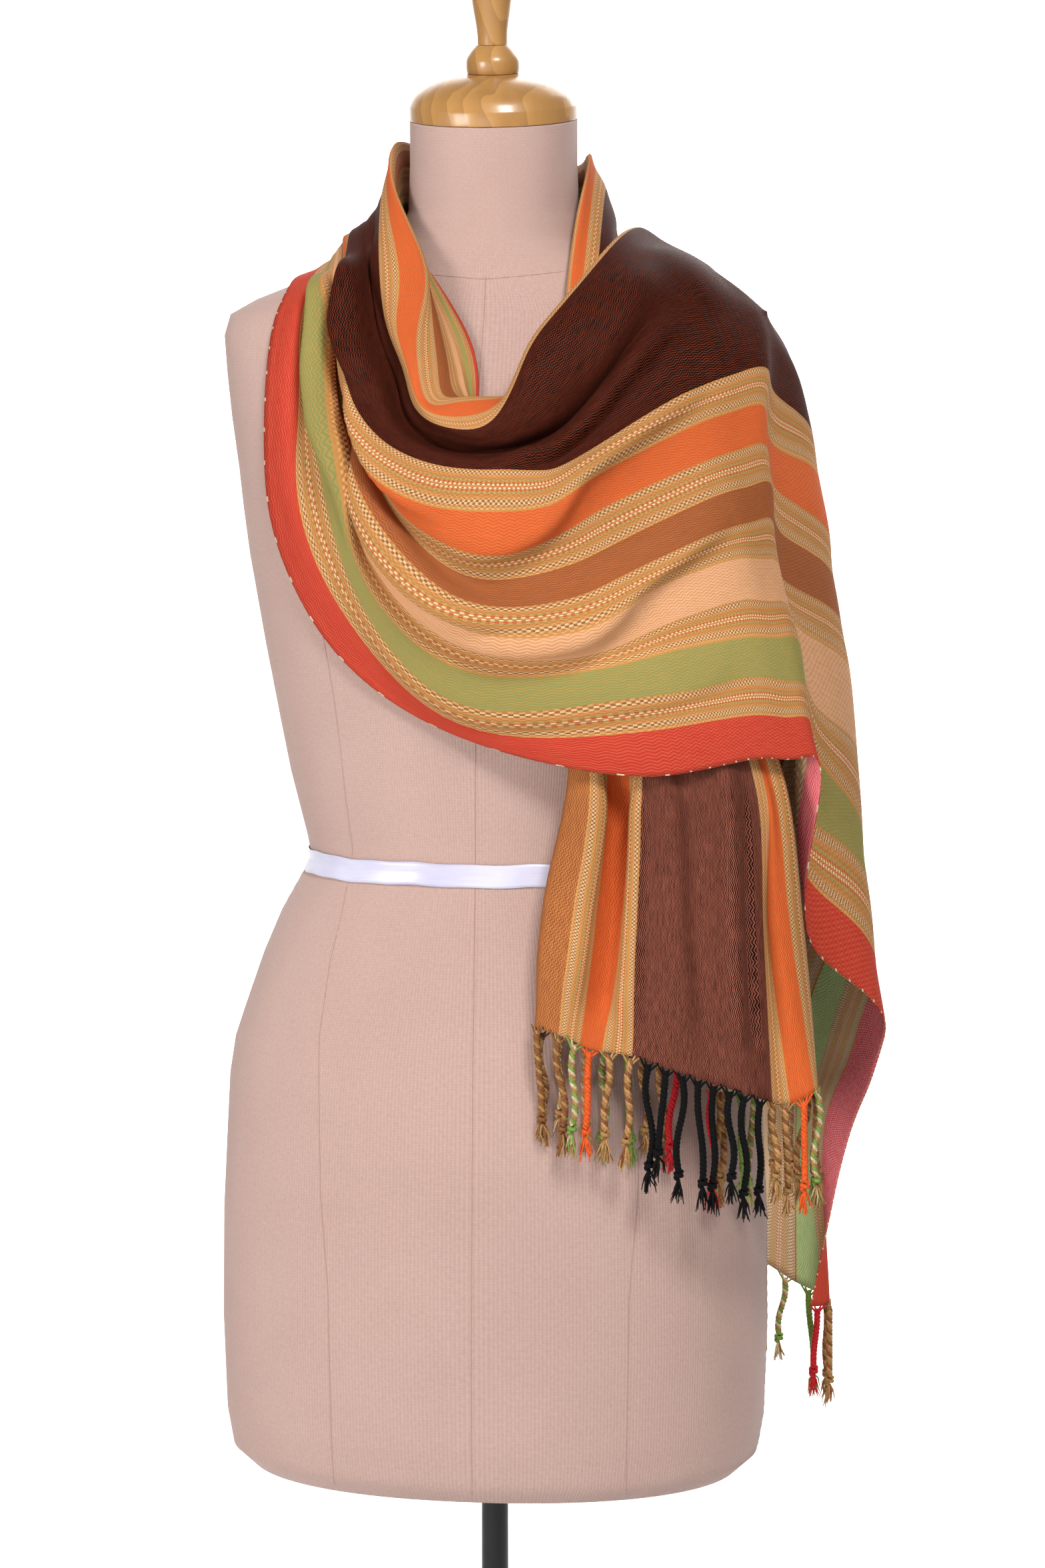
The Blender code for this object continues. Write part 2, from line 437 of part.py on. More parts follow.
def spline(table, places):
    """Smooth curve through the rows of a table, read at fractional row numbers."""
    last = len(table) - 1
    places = np.clip(places, 0.0, last)
    start = np.minimum(places.astype(int), last - 1)
    part = (places - start).reshape((-1,) + (1,) * (table.ndim - 1))
    before = table[np.maximum(start - 1, 0)]
    here = table[start]
    there = table[start + 1]
    after = table[np.minimum(start + 2, last)]
    return 0.5 * (2.0 * here + (there - before) * part
                  + (2.0 * before - 5.0 * here + 4.0 * there - after) * part ** 2
                  + (3.0 * here - before - 3.0 * there + after) * part ** 3)


def net_of(folds):
    """Fold line places across the cloth, and their points, one row for each fold line."""
    across = np.array([place for _, place, _ in folds])
    return across, np.array([points for _, _, points in folds], dtype=float)


def station_points(across, net, station, wanted):
    """Points of one station's line at wanted places across the cloth."""
    rows = np.interp(wanted, across, np.arange(len(across)))
    return spline(net[:, station], rows)


def joined_folds(lead, folds):
    """Put the lead points before each fold line's own points."""
    across, net = net_of(folds)
    return across, np.concatenate([lead(across)[:, None], net], axis=1)


def whole_station(station):
    """A function for the swag and cowl's line at a station, edge to edge."""
    swag = net_of(SWAG_FOLDS)
    cowl = net_of(COWL_FOLDS)

    def read(wanted):
        outer = station_points(*swag, station, np.minimum(wanted, swag[0][-1]))
        inner = station_points(*cowl, station, np.maximum(wanted, cowl[0][0]))
        return np.where((wanted > swag[0][-1])[:, None], inner, outer)

    return read


def steps_between(divisions):
    """Fractional line numbers with the given divisions between neighbouring lines."""
    steps = [np.arange(count) / count + line for line, count in enumerate(divisions)]
    return np.append(np.concatenate(steps), float(len(divisions)))


def cloth_points(across, net, station_divisions, layers, gaps):
    """Points of a stretch, one line for each station step.

    gaps are the cuts along the first and last fold line and at the first and last station.
    """
    rows = steps_between([ROW_DIVISIONS] * (len(across) - 1))
    places = np.interp(rows, np.arange(len(across)), across)
    points = spline(np.swapaxes(spline(net, rows), 0, 1), steps_between(station_divisions))
    points = clear_of_form(points, layer_clearance(layers, places, points))
    if gaps[0]:
        points[:, 0] = trimmed(points[:, 0], points[:, 1], gaps[0])
    if gaps[1]:
        points[:, -1] = trimmed(points[:, -1], points[:, -2], gaps[1])
    if gaps[2]:
        points[0] = trimmed(points[0], points[1], gaps[2])
    if gaps[3]:
        points[-1] = trimmed(points[-1], points[-2], gaps[3])
    return points


def cloth_wall(name, finish, across, net, station_divisions, layers, gaps):
    """A thin wall through a fold net, as a closed solid. Returns its middle surface."""
    points = cloth_points(across, net, station_divisions, layers, gaps)
    station_steps, row_steps = points.shape[0] - 1, points.shape[1] - 1
    shape = bmesh.new()
    bmesh.ops.create_grid(shape, x_segments=row_steps, y_segments=station_steps, size=1.0)
    for vertex in shape.verts:
        row = round((vertex.co.x * 0.5 + 0.5) * row_steps)
        station = round((vertex.co.y * 0.5 + 0.5) * station_steps)
        vertex.co = points[station, row]
    item = add_object(name, shape, finish)
    solidify = item.modifiers.new("wall", "SOLIDIFY")
    solidify.thickness = WALL * MM
    solidify.offset = 0.0
    return points


def line_at(line, across, wanted):
    """Points of a station line at wanted places across the cloth."""
    rows = np.interp(wanted, across, np.linspace(0.0, len(line) - 1, len(across)))
    return np.stack([np.interp(rows, np.arange(len(line)), line[:, axis]) for axis in range(3)], axis=-1)


def fringe(name, cloth, across, first, count, clearance, hem_gap):
    """Tassels on a narrow strip that hangs just below a hem."""
    spacing = SHAWL_WIDTH / TASSELS_PER_END
    centres = (np.arange(first, first + count) + 0.5) * spacing
    cuts = np.sort(np.concatenate([centres - ROOT_WIDTH, centres + ROOT_WIDTH]))
    path = line_at(cloth[-1], across, cuts)
    fall = path - line_at(cloth[-2], across, cuts)
    fall /= np.linalg.norm(fall, axis=1)[:, None]
    run = np.gradient(path, axis=0)
    side = np.cross(run, fall)
    side /= np.linalg.norm(side, axis=1)[:, None]
    shape = bmesh.new()
    rings = []
    for point, down, out in zip(path, fall, side):
        top = point + down * hem_gap
        low = top + down * STRIP_HEIGHT
        half = out * WALL * 0.5
        rings.append([shape.verts.new(corner) for corner in (top + half, top - half, low - half, low + half)])
    roots = []
    for index, (near, far) in enumerate(zip(rings, rings[1:])):
        for corner in range(4):
            following = (corner + 1) % 4
            face = shape.faces.new((near[corner], near[following], far[following], far[corner]))
            if corner == 2 and index % 2 == 0:
                roots.append(face)
    shape.faces.new(rings[0][::-1])
    shape.faces.new(rings[-1])
    draw = np.random.default_rng(first + 7)
    for root in roots:
        sway = np.append(draw.uniform(-TASSEL_SWAY, TASSEL_SWAY, 2), 0.0)
        middle = np.mean([corner.co for corner in root.verts], axis=0)
        start = None
        for drop, half_width in TASSEL_SHAPE:
            root = bmesh.ops.extrude_discrete_faces(shape, faces=[root])["faces"][0]
            if start is None:
                start = [np.array(corner.co) for corner in root.verts]
            share = drop / TASSEL_SHAPE[-1][0]
            centre = clear_of_form(middle + sway * share - np.array((0.0, 0.0, drop)), clearance)
            for corner, here in zip(root.verts, start):
                ray = (here - middle) * np.array((1.0, 1.0, 0.0))
                corner.co = centre + ray / np.linalg.norm(ray) * half_width
    bmesh.ops.recalc_face_normals(shape, faces=shape.faces)
    return add_object(name, shape, "mixed cord", smooth=False)


def turned(name, profile, finish, lift=0.0, tilt=0.0, centre=(0.0, 0.0, 0.0), sides=TURNED_SIDES):
    """A solid of revolution from radius and height pairs, tilted forward about its foot."""
    shape = bmesh.new()
    foot = [(0.0, profile[0][1])]
    head = [(0.0, profile[-1][1])]
    outline = [shape.verts.new((radius, 0.0, height + lift)) for radius, height in (*foot, *profile, *head)]
    edges = [shape.edges.new(pair) for pair in zip(outline, outline[1:])]
    bmesh.ops.spin(shape, geom=outline + edges, axis=(0.0, 0.0, 1.0), cent=(0.0, 0.0, 0.0),
                   steps=sides, angle=2.0 * math.pi, use_merge=True)
    bmesh.ops.remove_doubles(shape, verts=shape.verts, dist=0.001)
    bmesh.ops.recalc_face_normals(shape, faces=shape.faces)
    for vertex in shape.verts:
        x, y, z = vertex.co
        vertex.co = (x + centre[0],
                     y * math.cos(tilt) - z * math.sin(tilt) + centre[1],
                     z * math.cos(tilt) + y * math.sin(tilt) + centre[2])
    return add_object(name, shape, finish)


def form_rings(shape, heights, proud):
    """Closed rings of the form's skin at each height."""
    angles = [2.0 * math.pi * (side + 0.5) / FORM_SIDES for side in range(FORM_SIDES)]
    return [[shape.verts.new(form_point(angle, height, proud)) for angle in angles] for height in heights]


def bridge_rings(shape, rings):
    """Skin neighbouring rings with quads."""
    for lower, upper in zip(rings, rings[1:]):
        for side in range(len(lower)):
            following = (side + 1) % len(lower)
            shape.faces.new((lower[side], lower[following], upper[following], upper[side]))


def build_torso():
    """The padded body of the dress form, closed at its bottom and its neck."""
    shape = bmesh.new()
    rings = form_rings(shape, [row[0] for row in FORM_SECTIONS], 0.0)
    bridge_rings(shape, rings)
    shape.faces.new(rings[0][::-1])
    shape.faces.new(rings[-1])
    return add_object("form_torso", shape, "form cloth")


def build_waist_tape():
    """The satin tape round the waist, just clear of the body."""
    shape = bmesh.new()
    waist = FORM_SECTIONS[13][0]
    heights = (TAPE_BOTTOM, waist, TAPE_TOP)
    inner = form_rings(shape, heights, TAPE_GAP)
    outer = form_rings(shape, heights, TAPE_GAP + TAPE_THICKNESS)
    bridge_rings(shape, [inner[0], outer[0], outer[1], outer[2], inner[2], inner[1], inner[0]])
    bmesh.ops.recalc_face_normals(shape, faces=shape.faces)
    return add_object("waist_tape", shape, "satin tape")


def build_stand():
    """Round base, socket and pole."""
    base = ((BASE_RADIUS, 0.0), (BASE_RADIUS, BASE_HEIGHT - BASE_BEVEL),
            (BASE_RADIUS - BASE_BEVEL, BASE_HEIGHT))
    turned("stand_base", base, "black steel", sides=48)
    socket_foot = BASE_HEIGHT + TOUCH_GAP
    socket = ((SOCKET_RADIUS, 0.0), (SOCKET_RADIUS, SOCKET_HEIGHT * 0.6),
              (POLE_RADIUS + 2.0, SOCKET_HEIGHT))
    turned("pole_socket", socket, "black steel", lift=socket_foot)
    pole_foot = socket_foot + SOCKET_HEIGHT + TOUCH_GAP
    pole = ((POLE_RADIUS, 0.0), (POLE_RADIUS, TORSO_BOTTOM - TOUCH_GAP - pole_foot))
    turned("stand_pole", pole, "black steel", lift=pole_foot)


def build_neck_wood():
    """The turned cap, collar and finial, square to the leaning neck."""
    place = (0.0, 0.0, NECK_TOP)
    turned("neck_cap", CAP_PROFILE, "turned wood", tilt=NECK_TILT, centre=place)
    collar_foot = CAP_PROFILE[-1][1] + TOUCH_GAP
    turned("cap_collar", COLLAR_PROFILE, "turned wood", lift=collar_foot, tilt=NECK_TILT, centre=place)
    finial_foot = collar_foot + COLLAR_PROFILE[-1][1] + TOUCH_GAP
    turned("finial", FINIAL_PROFILE, "turned wood", lift=finial_foot, tilt=NECK_TILT, centre=place)


def build_shawl():
    """The stretches of the shawl that show, and the fringe at its two ends."""
    swag_across, swag_net = net_of(SWAG_FOLDS)
    cloth_wall("shawl_swag", "orange weave", swag_across, swag_net, CHEST_DIVISIONS, SWAG_LAYERS,
               (0.0, FOLD_GAP, SEAM_GAP, SIDE_GAP))
    cowl_across, cowl_net = net_of(COWL_FOLDS)
    cloth_wall("shawl_cowl", "dark brown weave", cowl_across, cowl_net, CHEST_DIVISIONS, COWL_LAYERS,
               (FOLD_GAP, 0.0, SEAM_GAP, SIDE_GAP))
    loop_across, loop_net = joined_folds(whole_station(0), LOOP_FOLDS)
    cloth_wall("shawl_neck_loop", "tan weave", loop_across, loop_net, LOOP_DIVISIONS, LOOP_LAYERS,
               (0.0, 0.0, SEAM_GAP, 0.0))
    tail_across, tail_net = net_of(TAIL_FOLDS)
    tail = cloth_wall("shawl_front_tail", "dark brown weave", tail_across, tail_net, TAIL_DIVISIONS, TAIL_LAYERS,
                      (0.0, 0.0, 0.0, 0.0))
    fall_across, fall_net = joined_folds(whole_station(-1), FALL_FOLDS)
    fall = cloth_wall("shawl_back_fall", "red weave", fall_across, fall_net, FALL_DIVISIONS, FALL_LAYERS,
                      (0.0, 0.0, SIDE_GAP, 0.0))
    for name, first, count, clearance in FRONT_FRINGES:
        fringe(name, tail, tail_across, first, count, clearance, FRONT_HEM_GAP)
    for name, first, count, clearance in BACK_FRINGES:
        fringe(name, fall, fall_across, first, count, clearance, BACK_HEM_GAP)


def main():
    """Clear the scene and build the whole object."""
    for item in list(bpy.data.objects):
        bpy.data.objects.remove(item)
    build_torso()
    build_waist_tape()
    build_stand()
    build_neck_wood()
    build_shawl()


main()
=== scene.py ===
"""A striped shawl wound once round the neck of a limbless dress form.

The shawl is one long cloth. Its fold lines come from the same tables as the solids': the
wrap runs from behind the neck across the chest and over the far shoulder to its back hem,
and the front tail hangs from under it. Table sizes are in millimetres.
"""
import logging
import math
from dataclasses import dataclass, field
from enum import Enum

import bmesh
import bpy
import numpy as np
from mathutils import Matrix, Vector


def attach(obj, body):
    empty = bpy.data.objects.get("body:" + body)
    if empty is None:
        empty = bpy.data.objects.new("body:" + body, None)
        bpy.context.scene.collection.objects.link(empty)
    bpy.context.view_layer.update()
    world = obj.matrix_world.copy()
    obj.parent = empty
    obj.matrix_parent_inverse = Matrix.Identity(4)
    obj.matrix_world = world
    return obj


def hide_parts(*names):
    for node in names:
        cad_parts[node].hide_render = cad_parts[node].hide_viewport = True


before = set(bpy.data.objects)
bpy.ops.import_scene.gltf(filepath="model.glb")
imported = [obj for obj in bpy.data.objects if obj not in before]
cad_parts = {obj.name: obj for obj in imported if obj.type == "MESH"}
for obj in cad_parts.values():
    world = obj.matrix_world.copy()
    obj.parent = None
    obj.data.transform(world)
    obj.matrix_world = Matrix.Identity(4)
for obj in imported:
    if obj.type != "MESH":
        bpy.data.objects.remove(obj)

Array = np.ndarray
YarnRun = tuple[Array, Array, int]
NodeTree = bpy.types.NodeTree
Socket = bpy.types.NodeSocket
Point = tuple[float, float, float]

log = logging.getLogger("shawl")
MM = 0.001

# Stand
BASE_RADIUS = 185.0
BASE_HEIGHT = 14.0
BASE_BEVEL = 3.0
SOCKET_RADIUS = 19.0
SOCKET_HEIGHT = 34.0
POLE_RADIUS = 9.1
TOUCH_GAP = 0.3
WORN_EDGE = 0.8
CAP_BEVEL = 0.6
SHARP_ANGLE = math.radians(38.0)
PROFILE_STEPS = 5

# Dress form
FORM_POWER = 2.2
TORSO_BOTTOM = 430.0
NECK_TOP = 1339.0
NECK_TILT = math.radians(9.0)
TILT_START = 1262.0
TILT_END = 1330.0
BUST_SIDE = 72.0
BUST_HEIGHT = 1082.0
BUST_RISE = 9.0
BUST_SPREAD = 25.0
TAPE_BOTTOM = 842.0
TAPE_TOP = 857.0
TAPE_GAP = 0.35

# Turned wood on the neck: radius, height above the neck's tilted top
CAP_PROFILE = ((55.5, 0.3), (55.5, 9.0), (51.0, 17.0), (41.0, 24.0), (28.0, 28.5), (16.0, 30.0))
COLLAR_PROFILE = ((16.8, 0.0), (17.6, 3.0), (17.2, 9.0), (14.0, 14.0), (10.4, 18.0))
FINIAL_PROFILE = ((9.8, 0.0), (10.2, 9.0), (12.2, 22.0), (13.4, 32.0), (12.8, 40.0), (9.0, 46.0), (4.0, 48.5))

SHAWL_WIDTH = 700.0

# How far each stretch stays off the form: place across the cloth, distance where it lies on
# the form, distance where it lies over the first pass (left of the neck is -X)
UNDER_START = 15.0
UNDER_END = 45.0
SWAG_LAYERS = ((0.0, 4.0, 13.0), (264.0, 4.0, 16.0), (340.0, 6.0, 18.0))
COWL_LAYERS = ((340.0, 8.0, 17.0), (436.0, 17.0, 18.0), (462.0, 16.0, 15.0), (489.0, 13.5, 13.0),
               (520.0, 9.5, 12.5), (565.0, 8.5, 12.0), (634.0, 6.8, 12.0), (700.0, 4.0, 12.0))
LOOP_LAYERS = ((0.0, 4.5, 4.5), (264.0, 5.0, 5.0), (340.0, 5.5, 5.5), (400.0, 9.5, 9.5),
               (489.0, 9.0, 9.0), (515.0, 5.5, 5.5),
               (560.0, 4.0, 4.0), (700.0, 4.0, 4.0))
TAIL_LAYERS = ((0.0, 4.0, 4.0), (180.0, 4.0, 4.0), (215.0, 8.5, 8.5), (510.0, 8.5, 8.5), (545.0, 4.0, 4.0),
               (700.0, 4.0, 4.0))
FALL_LAYERS = ((0.0, 4.0, 8.0), (340.0, 5.0, 14.0), (700.0, 5.0, 14.0))

# Dress form sections: height, half width, depth in front, depth behind
FORM_SECTIONS = (
    (430.0, 150.0, 92.0, 92.0),
    (434.0, 167.0, 104.0, 106.0),
    (446.0, 180.0, 113.0, 116.0),
    (470.0, 184.0, 117.0, 121.0),
    (534.0, 186.0, 120.0, 126.0),
    (609.0, 185.0, 120.0, 131.0),
    (665.0, 182.0, 118.0, 132.0),
    (702.0, 180.0, 115.0, 128.0),
    (727.0, 176.0, 112.0, 122.0),
    (748.0, 169.0, 108.0, 116.0),
    (785.0, 156.0, 101.0, 104.0),
    (813.0, 144.0, 96.0, 96.0),
    (836.0, 131.0, 92.0, 90.0),
    (850.0, 123.0, 90.0, 86.0),
    (865.0, 126.0, 90.0, 86.0),
    (909.0, 137.0, 94.0, 92.0),
    (940.0, 143.0, 98.0, 97.0),
    (994.0, 153.0, 106.0, 103.0),
    (1053.0, 163.0, 114.0, 108.0),
    (1084.0, 167.0, 116.0, 110.0),
    (1111.0, 170.0, 112.0, 112.0),
    (1146.0, 175.0, 102.0, 112.0),
    (1173.0, 178.0, 90.0, 108.0),
    (1198.0, 180.0, 76.0, 98.0),
    (1212.0, 176.0, 68.0, 90.0),
    (1222.0, 158.0, 64.0, 82.0),
    (1232.0, 132.0, 61.0, 74.0),
    (1242.0, 102.0, 58.0, 67.0),
    (1252.0, 76.0, 57.0, 61.0),
    (1262.0, 62.0, 56.0, 58.0),
    (1280.0, 56.0, 55.0, 56.0),
    (1310.0, 55.0, 54.0, 55.0),
    (1339.0, 55.0, 54.0, 55.0),
)

# Fold lines of the swag, from its outer edge inward: name, place across the cloth, then x, y, z
# at the shoulder crest, before it, at the collar, upper chest, side chest, low chest, left bowl,
# bowl, right bowl, near the arm, two before the arm, hanging ridge, tuck and side
SWAG_FOLDS = (
    ("edge", 0.0, (
        (-123, 6, 1239), (-127, -17, 1232), (-132, -41, 1222), (-139, -54, 1199), (-141, -68, 1149),
        (-135, -76, 1074), (-96, -91, 996), (-16, -104, 941), (95, -128, 919), (144, -124, 924),
        (182, -114, 931), (204, -104, 928), (224, -92, 925), (208, -35, 808), (262, 25, 738))),
    ("red ridge", 13.0, (
        (-117, 6, 1243), (-119, -22, 1236), (-122, -52, 1225), (-126, -72, 1199), (-126, -90, 1152),
        (-123, -96, 1079), (-89, -100, 1007), (-15, -107, 943), (92, -131, 933), (141, -127, 940),
        (181, -117, 946), (202, -107, 942), (220, -95, 938), (206, -38, 832), (259, 24, 760))),
    ("red band", 26.0, (
        (-113, 6, 1247), (-114, -21, 1239), (-116, -50, 1228), (-119, -71, 1199), (-116, -89, 1155),
        (-116, -103, 1086), (-84, -106, 1016), (-13, -109, 945), (88, -131, 947), (138, -128, 954),
        (180, -118, 960), (200, -108, 956), (217, -96, 952), (204, -42, 857), (256, 22, 783))),
    ("shoulder dip", 40.0, (
        (-110, 6, 1249), (-111, -20, 1241), (-112, -49, 1229), (-116, -65, 1198), (-113, -83, 1157),
        (-106, -107, 1091), (-79, -110, 1023), (-13, -114, 952), (86, -132, 958), (135, -129, 965),
        (178, -119, 972), (198, -109, 968), (214, -96, 963), (202, -46, 876), (253, 21, 813))),
    ("green edge", 53.0, (
        (-108, 6, 1251), (-108, -21, 1242), (-108, -51, 1230), (-111, -75, 1198), (-109, -92, 1158),
        (-96, -116, 1097), (-75, -116, 1029), (-12, -118, 959), (83, -133, 969), (132, -130, 975),
        (178, -120, 985), (197, -110, 980), (212, -96, 975), (201, -50, 900), (249, 20, 843))),
    ("green ridge", 79.0, (
        (-106, 6, 1254), (-105, -23, 1244), (-104, -56, 1230), (-101, -81, 1198), (-98, -99, 1160),
        (-87, -122, 1106), (-69, -120, 1037), (-9, -121, 983), (77, -131, 988), (125, -130, 1001),
        (173, -120, 1010), (192, -110, 1008), (207, -95, 1006), (212, -60, 936), (246, 18, 873))),
    ("first pleat", 110.0, (
        (-104, 6, 1257), (-102, -22, 1247), (-100, -53, 1232), (-101, -69, 1197), (-97, -86, 1160),
        (-85, -108, 1109), (-62, -116, 1046), (-5, -123, 999), (72, -129, 996), (117, -131, 1018),
        (168, -119, 1036), (185, -107, 1033), (199, -91, 1030), (211, -66, 970), (242, 16, 932))),
    ("peach ridge", 132.0, (
        (-103, 6, 1259), (-100, -23, 1248), (-97, -54, 1232), (-97, -70, 1197), (-93, -88, 1161),
        (-79, -114, 1112), (-58, -127, 1055), (-1, -138, 1016), (70, -138, 1016), (106, -134, 1038),
        (164, -118, 1059), (180, -105, 1058), (193, -87, 1056), (198, -72, 1018), (236, 14, 979))),
    ("brown edge", 158.0, (
        (-102, 6, 1261), (-98, -24, 1249), (-94, -57, 1232), (-93, -74, 1197), (-89, -93, 1161),
        (-75, -123, 1116), (-48, -138, 1069), (0, -139, 1026), (66, -139, 1033), (98, -136, 1049),
        (158, -116, 1076), (175, -101, 1080), (189, -82, 1082), (191, -70, 1045), (231, 12, 1010))),
    ("second pleat", 190.0, (
        (-101, 6, 1263), (-96, -26, 1250), (-92, -61, 1232), (-92, -78, 1197), (-87, -99, 1162),
        (-69, -120, 1120), (-43, -131, 1078), (2, -135, 1046), (59, -137, 1057), (87, -136, 1071),
        (150, -113, 1101), (170, -97, 1106), (186, -77, 1110), (188, -66, 1080), (225, 10, 1046))),
    ("orange edge", 215.0, (
        (-100, 6, 1265), (-95, -29, 1251), (-91, -66, 1232), (-92, -83, 1197), (-86, -104, 1162),
        (-67, -123, 1122), (-40, -141, 1083), (6, -145, 1066), (55, -142, 1076), (76, -138, 1091),
        (142, -109, 1121), (165, -92, 1129), (184, -71, 1134), (186, -60, 1105), (221, 8, 1072))),
    ("orange top", 240.0, (
        (-98, 6, 1267), (-94, -31, 1252), (-91, -71, 1232), (-93, -89, 1197), (-86, -109, 1162),
        (-66, -130, 1123), (-32, -144, 1095), (10, -150, 1092), (49, -144, 1094), (69, -139, 1108),
        (137, -104, 1144), (162, -86, 1152), (183, -63, 1158), (185, -52, 1133), (213, 6, 1114))),
    ("dark edge", 264.0, (
        (-96, 6, 1269), (-93, -34, 1253), (-90, -76, 1232), (-94, -93, 1198), (-77, -116, 1165),
        (-56, -133, 1131), (-20, -141, 1117), (13, -145, 1115), (44, -142, 1115), (61, -138, 1117),
        (133, -99, 1162), (160, -80, 1172), (182, -55, 1179), (185, -42, 1163), (209, 4, 1140))),
    ("dark ridge", 300.0, (
        (-91, 6, 1271), (-87, -35, 1254), (-82, -79, 1233), (-79, -100, 1199), (-63, -118, 1169),
        (-48, -129, 1137), (-17, -135, 1123), (12, -137, 1120), (40, -132, 1124), (63, -132, 1133),
        (120, -92, 1191), (150, -67, 1199), (177, -36, 1204), (184, -22, 1195), (201, 6, 1170))),
    ("deep fold", 340.0, (
        (-86, 6, 1275), (-81.5, -30, 1256), (-74, -68, 1234), (-67, -87, 1201), (-55, -103, 1173),
        (-44, -112, 1140), (-18, -117, 1123), (10, -120, 1122), (38, -116, 1128), (64, -117, 1144),
        (113, -84, 1211), (139, -52, 1219), (161, -14, 1224), (171, 0, 1221), (193, 14, 1190))),
)

# Fold lines of the cowl, from the deep fold to the inner edge, at the same stations
COWL_FOLDS = (
    ("deep fold", 340.0, (
        (-86, 6, 1275), (-81.5, -30, 1256.5), (-74, -68, 1235), (-67, -87, 1203), (-55, -103, 1176),
        (-46, -111, 1143), (-18, -120, 1129), (10, -123, 1129), (38, -119, 1134), (64, -118, 1149),
        (113, -84, 1213), (139, -52, 1221), (161, -14, 1227), (171, 0, 1224), (194, 14, 1192))),
    ("roll under", 372.0, (
        (-81, 8, 1282), (-77, -27, 1262), (-71, -62, 1238), (-65, -77, 1204), (-52, -93, 1176),
        (-43, -104, 1146), (-20, -126, 1135), (12, -133, 1130), (38, -134, 1135), (62, -134, 1154),
        (105, -92, 1219), (122, -51, 1237), (134, -4, 1244), (150, 14, 1238), (182, 46, 1198))),
    ("roll crest", 405.0, (
        (-76, 10, 1289), (-73.5, -28.5, 1267), (-69, -66, 1240), (-62, -80, 1205), (-50, -97, 1177),
        (-40, -109, 1149), (-18, -131, 1137), (13, -139, 1132), (34, -143, 1149), (53, -139, 1174),
        (84, -99, 1224), (99, -52, 1249), (109, 2, 1257), (124, 26, 1250), (160, 74, 1208))),
    ("collar edge", 436.0, (
        (-73, 12, 1301), (-71.5, -33, 1272), (-66, -76, 1239), (-60, -91, 1205), (-47, -107, 1178),
        (-38, -118, 1151), (-15, -134, 1140), (12, -140, 1141), (28, -136, 1167), (37, -127, 1195),
        (64, -94, 1231), (84, -50, 1259), (94, 6, 1270), (106, 36, 1262), (138, 92, 1214))),
    ("orange edge", 462.0, (
        (-71, 16, 1314), (-66, -38, 1279), (-53, -83, 1238), (-54, -99, 1204), (-43, -114, 1178),
        (-33, -125, 1153), (-12, -131, 1145), (13, -134, 1150), (25, -124, 1166), (36, -116, 1191),
        (62, -87, 1228), (81, -47, 1257), (91, 4, 1267), (103, 39, 1260), (126, 98, 1208))),
    ("orange top", 489.0, (
        (-68, 22, 1327), (-60, -37, 1288), (-33, -80, 1239), (-38, -99, 1204), (-37, -114, 1178),
        (-29, -123, 1154), (-10, -121, 1158), (13, -122, 1160), (26, -115, 1163), (39, -108, 1188),
        (64, -84, 1224), (82, -45, 1253.5), (90, 3, 1263.5), (100, 41, 1258), (116, 103, 1202))),
    ("brown strip", 520.0, (
        (-64.5, 22, 1319), (-56, -32, 1282), (-36, -75, 1241), (-28, -93, 1206), (-22, -108, 1180),
        (-19, -117, 1161), (-7, -114, 1158), (13, -115, 1158), (27, -109, 1160), (42, -102, 1185),
        (67, -82, 1221), (84, -43, 1249), (91, 2, 1260.5), (99, 42, 1258), (106, 107, 1196))),
    ("collar dip", 565.0, (
        (-63.5, 20, 1300), (-55, -29, 1275), (-40, -70, 1242), (-24, -84, 1206), (-15, -98, 1181),
        (-10, -107, 1164), (-3, -108, 1155), (14, -109, 1155), (29, -104, 1157), (44, -101, 1181),
        (71, -81, 1218), (88, -42, 1247), (91.5, 1.2, 1259), (96.5, 44, 1254.5), (96, 114, 1192))),
    ("green strip", 634.0, (
        (-62, 15, 1284), (-53.5, -28, 1267), (-38, -66, 1240), (-16, -84, 1202), (-7, -96, 1178),
        (-4, -103, 1160), (1, -104, 1152), (16, -105, 1151), (31, -101, 1153), (47, -99, 1177),
        (75, -80, 1215), (92, -42, 1245), (92.8, 0.3, 1257.2), (91.5, 48, 1251.5), (84, 119, 1186))),
    ("inner edge", 700.0, (
        (-64, 10, 1268), (-55, -30, 1259), (-32, -61, 1235), (-8, -79, 1199), (0, -93, 1174),
        (1, -100, 1157), (5, -101, 1148), (18, -102, 1146), (33, -98, 1149), (50, -98, 1172),
        (79, -80, 1212), (96, -42, 1243), (94, -0.5, 1255.4), (86.5, 51, 1249), (74, 122, 1180))),
)

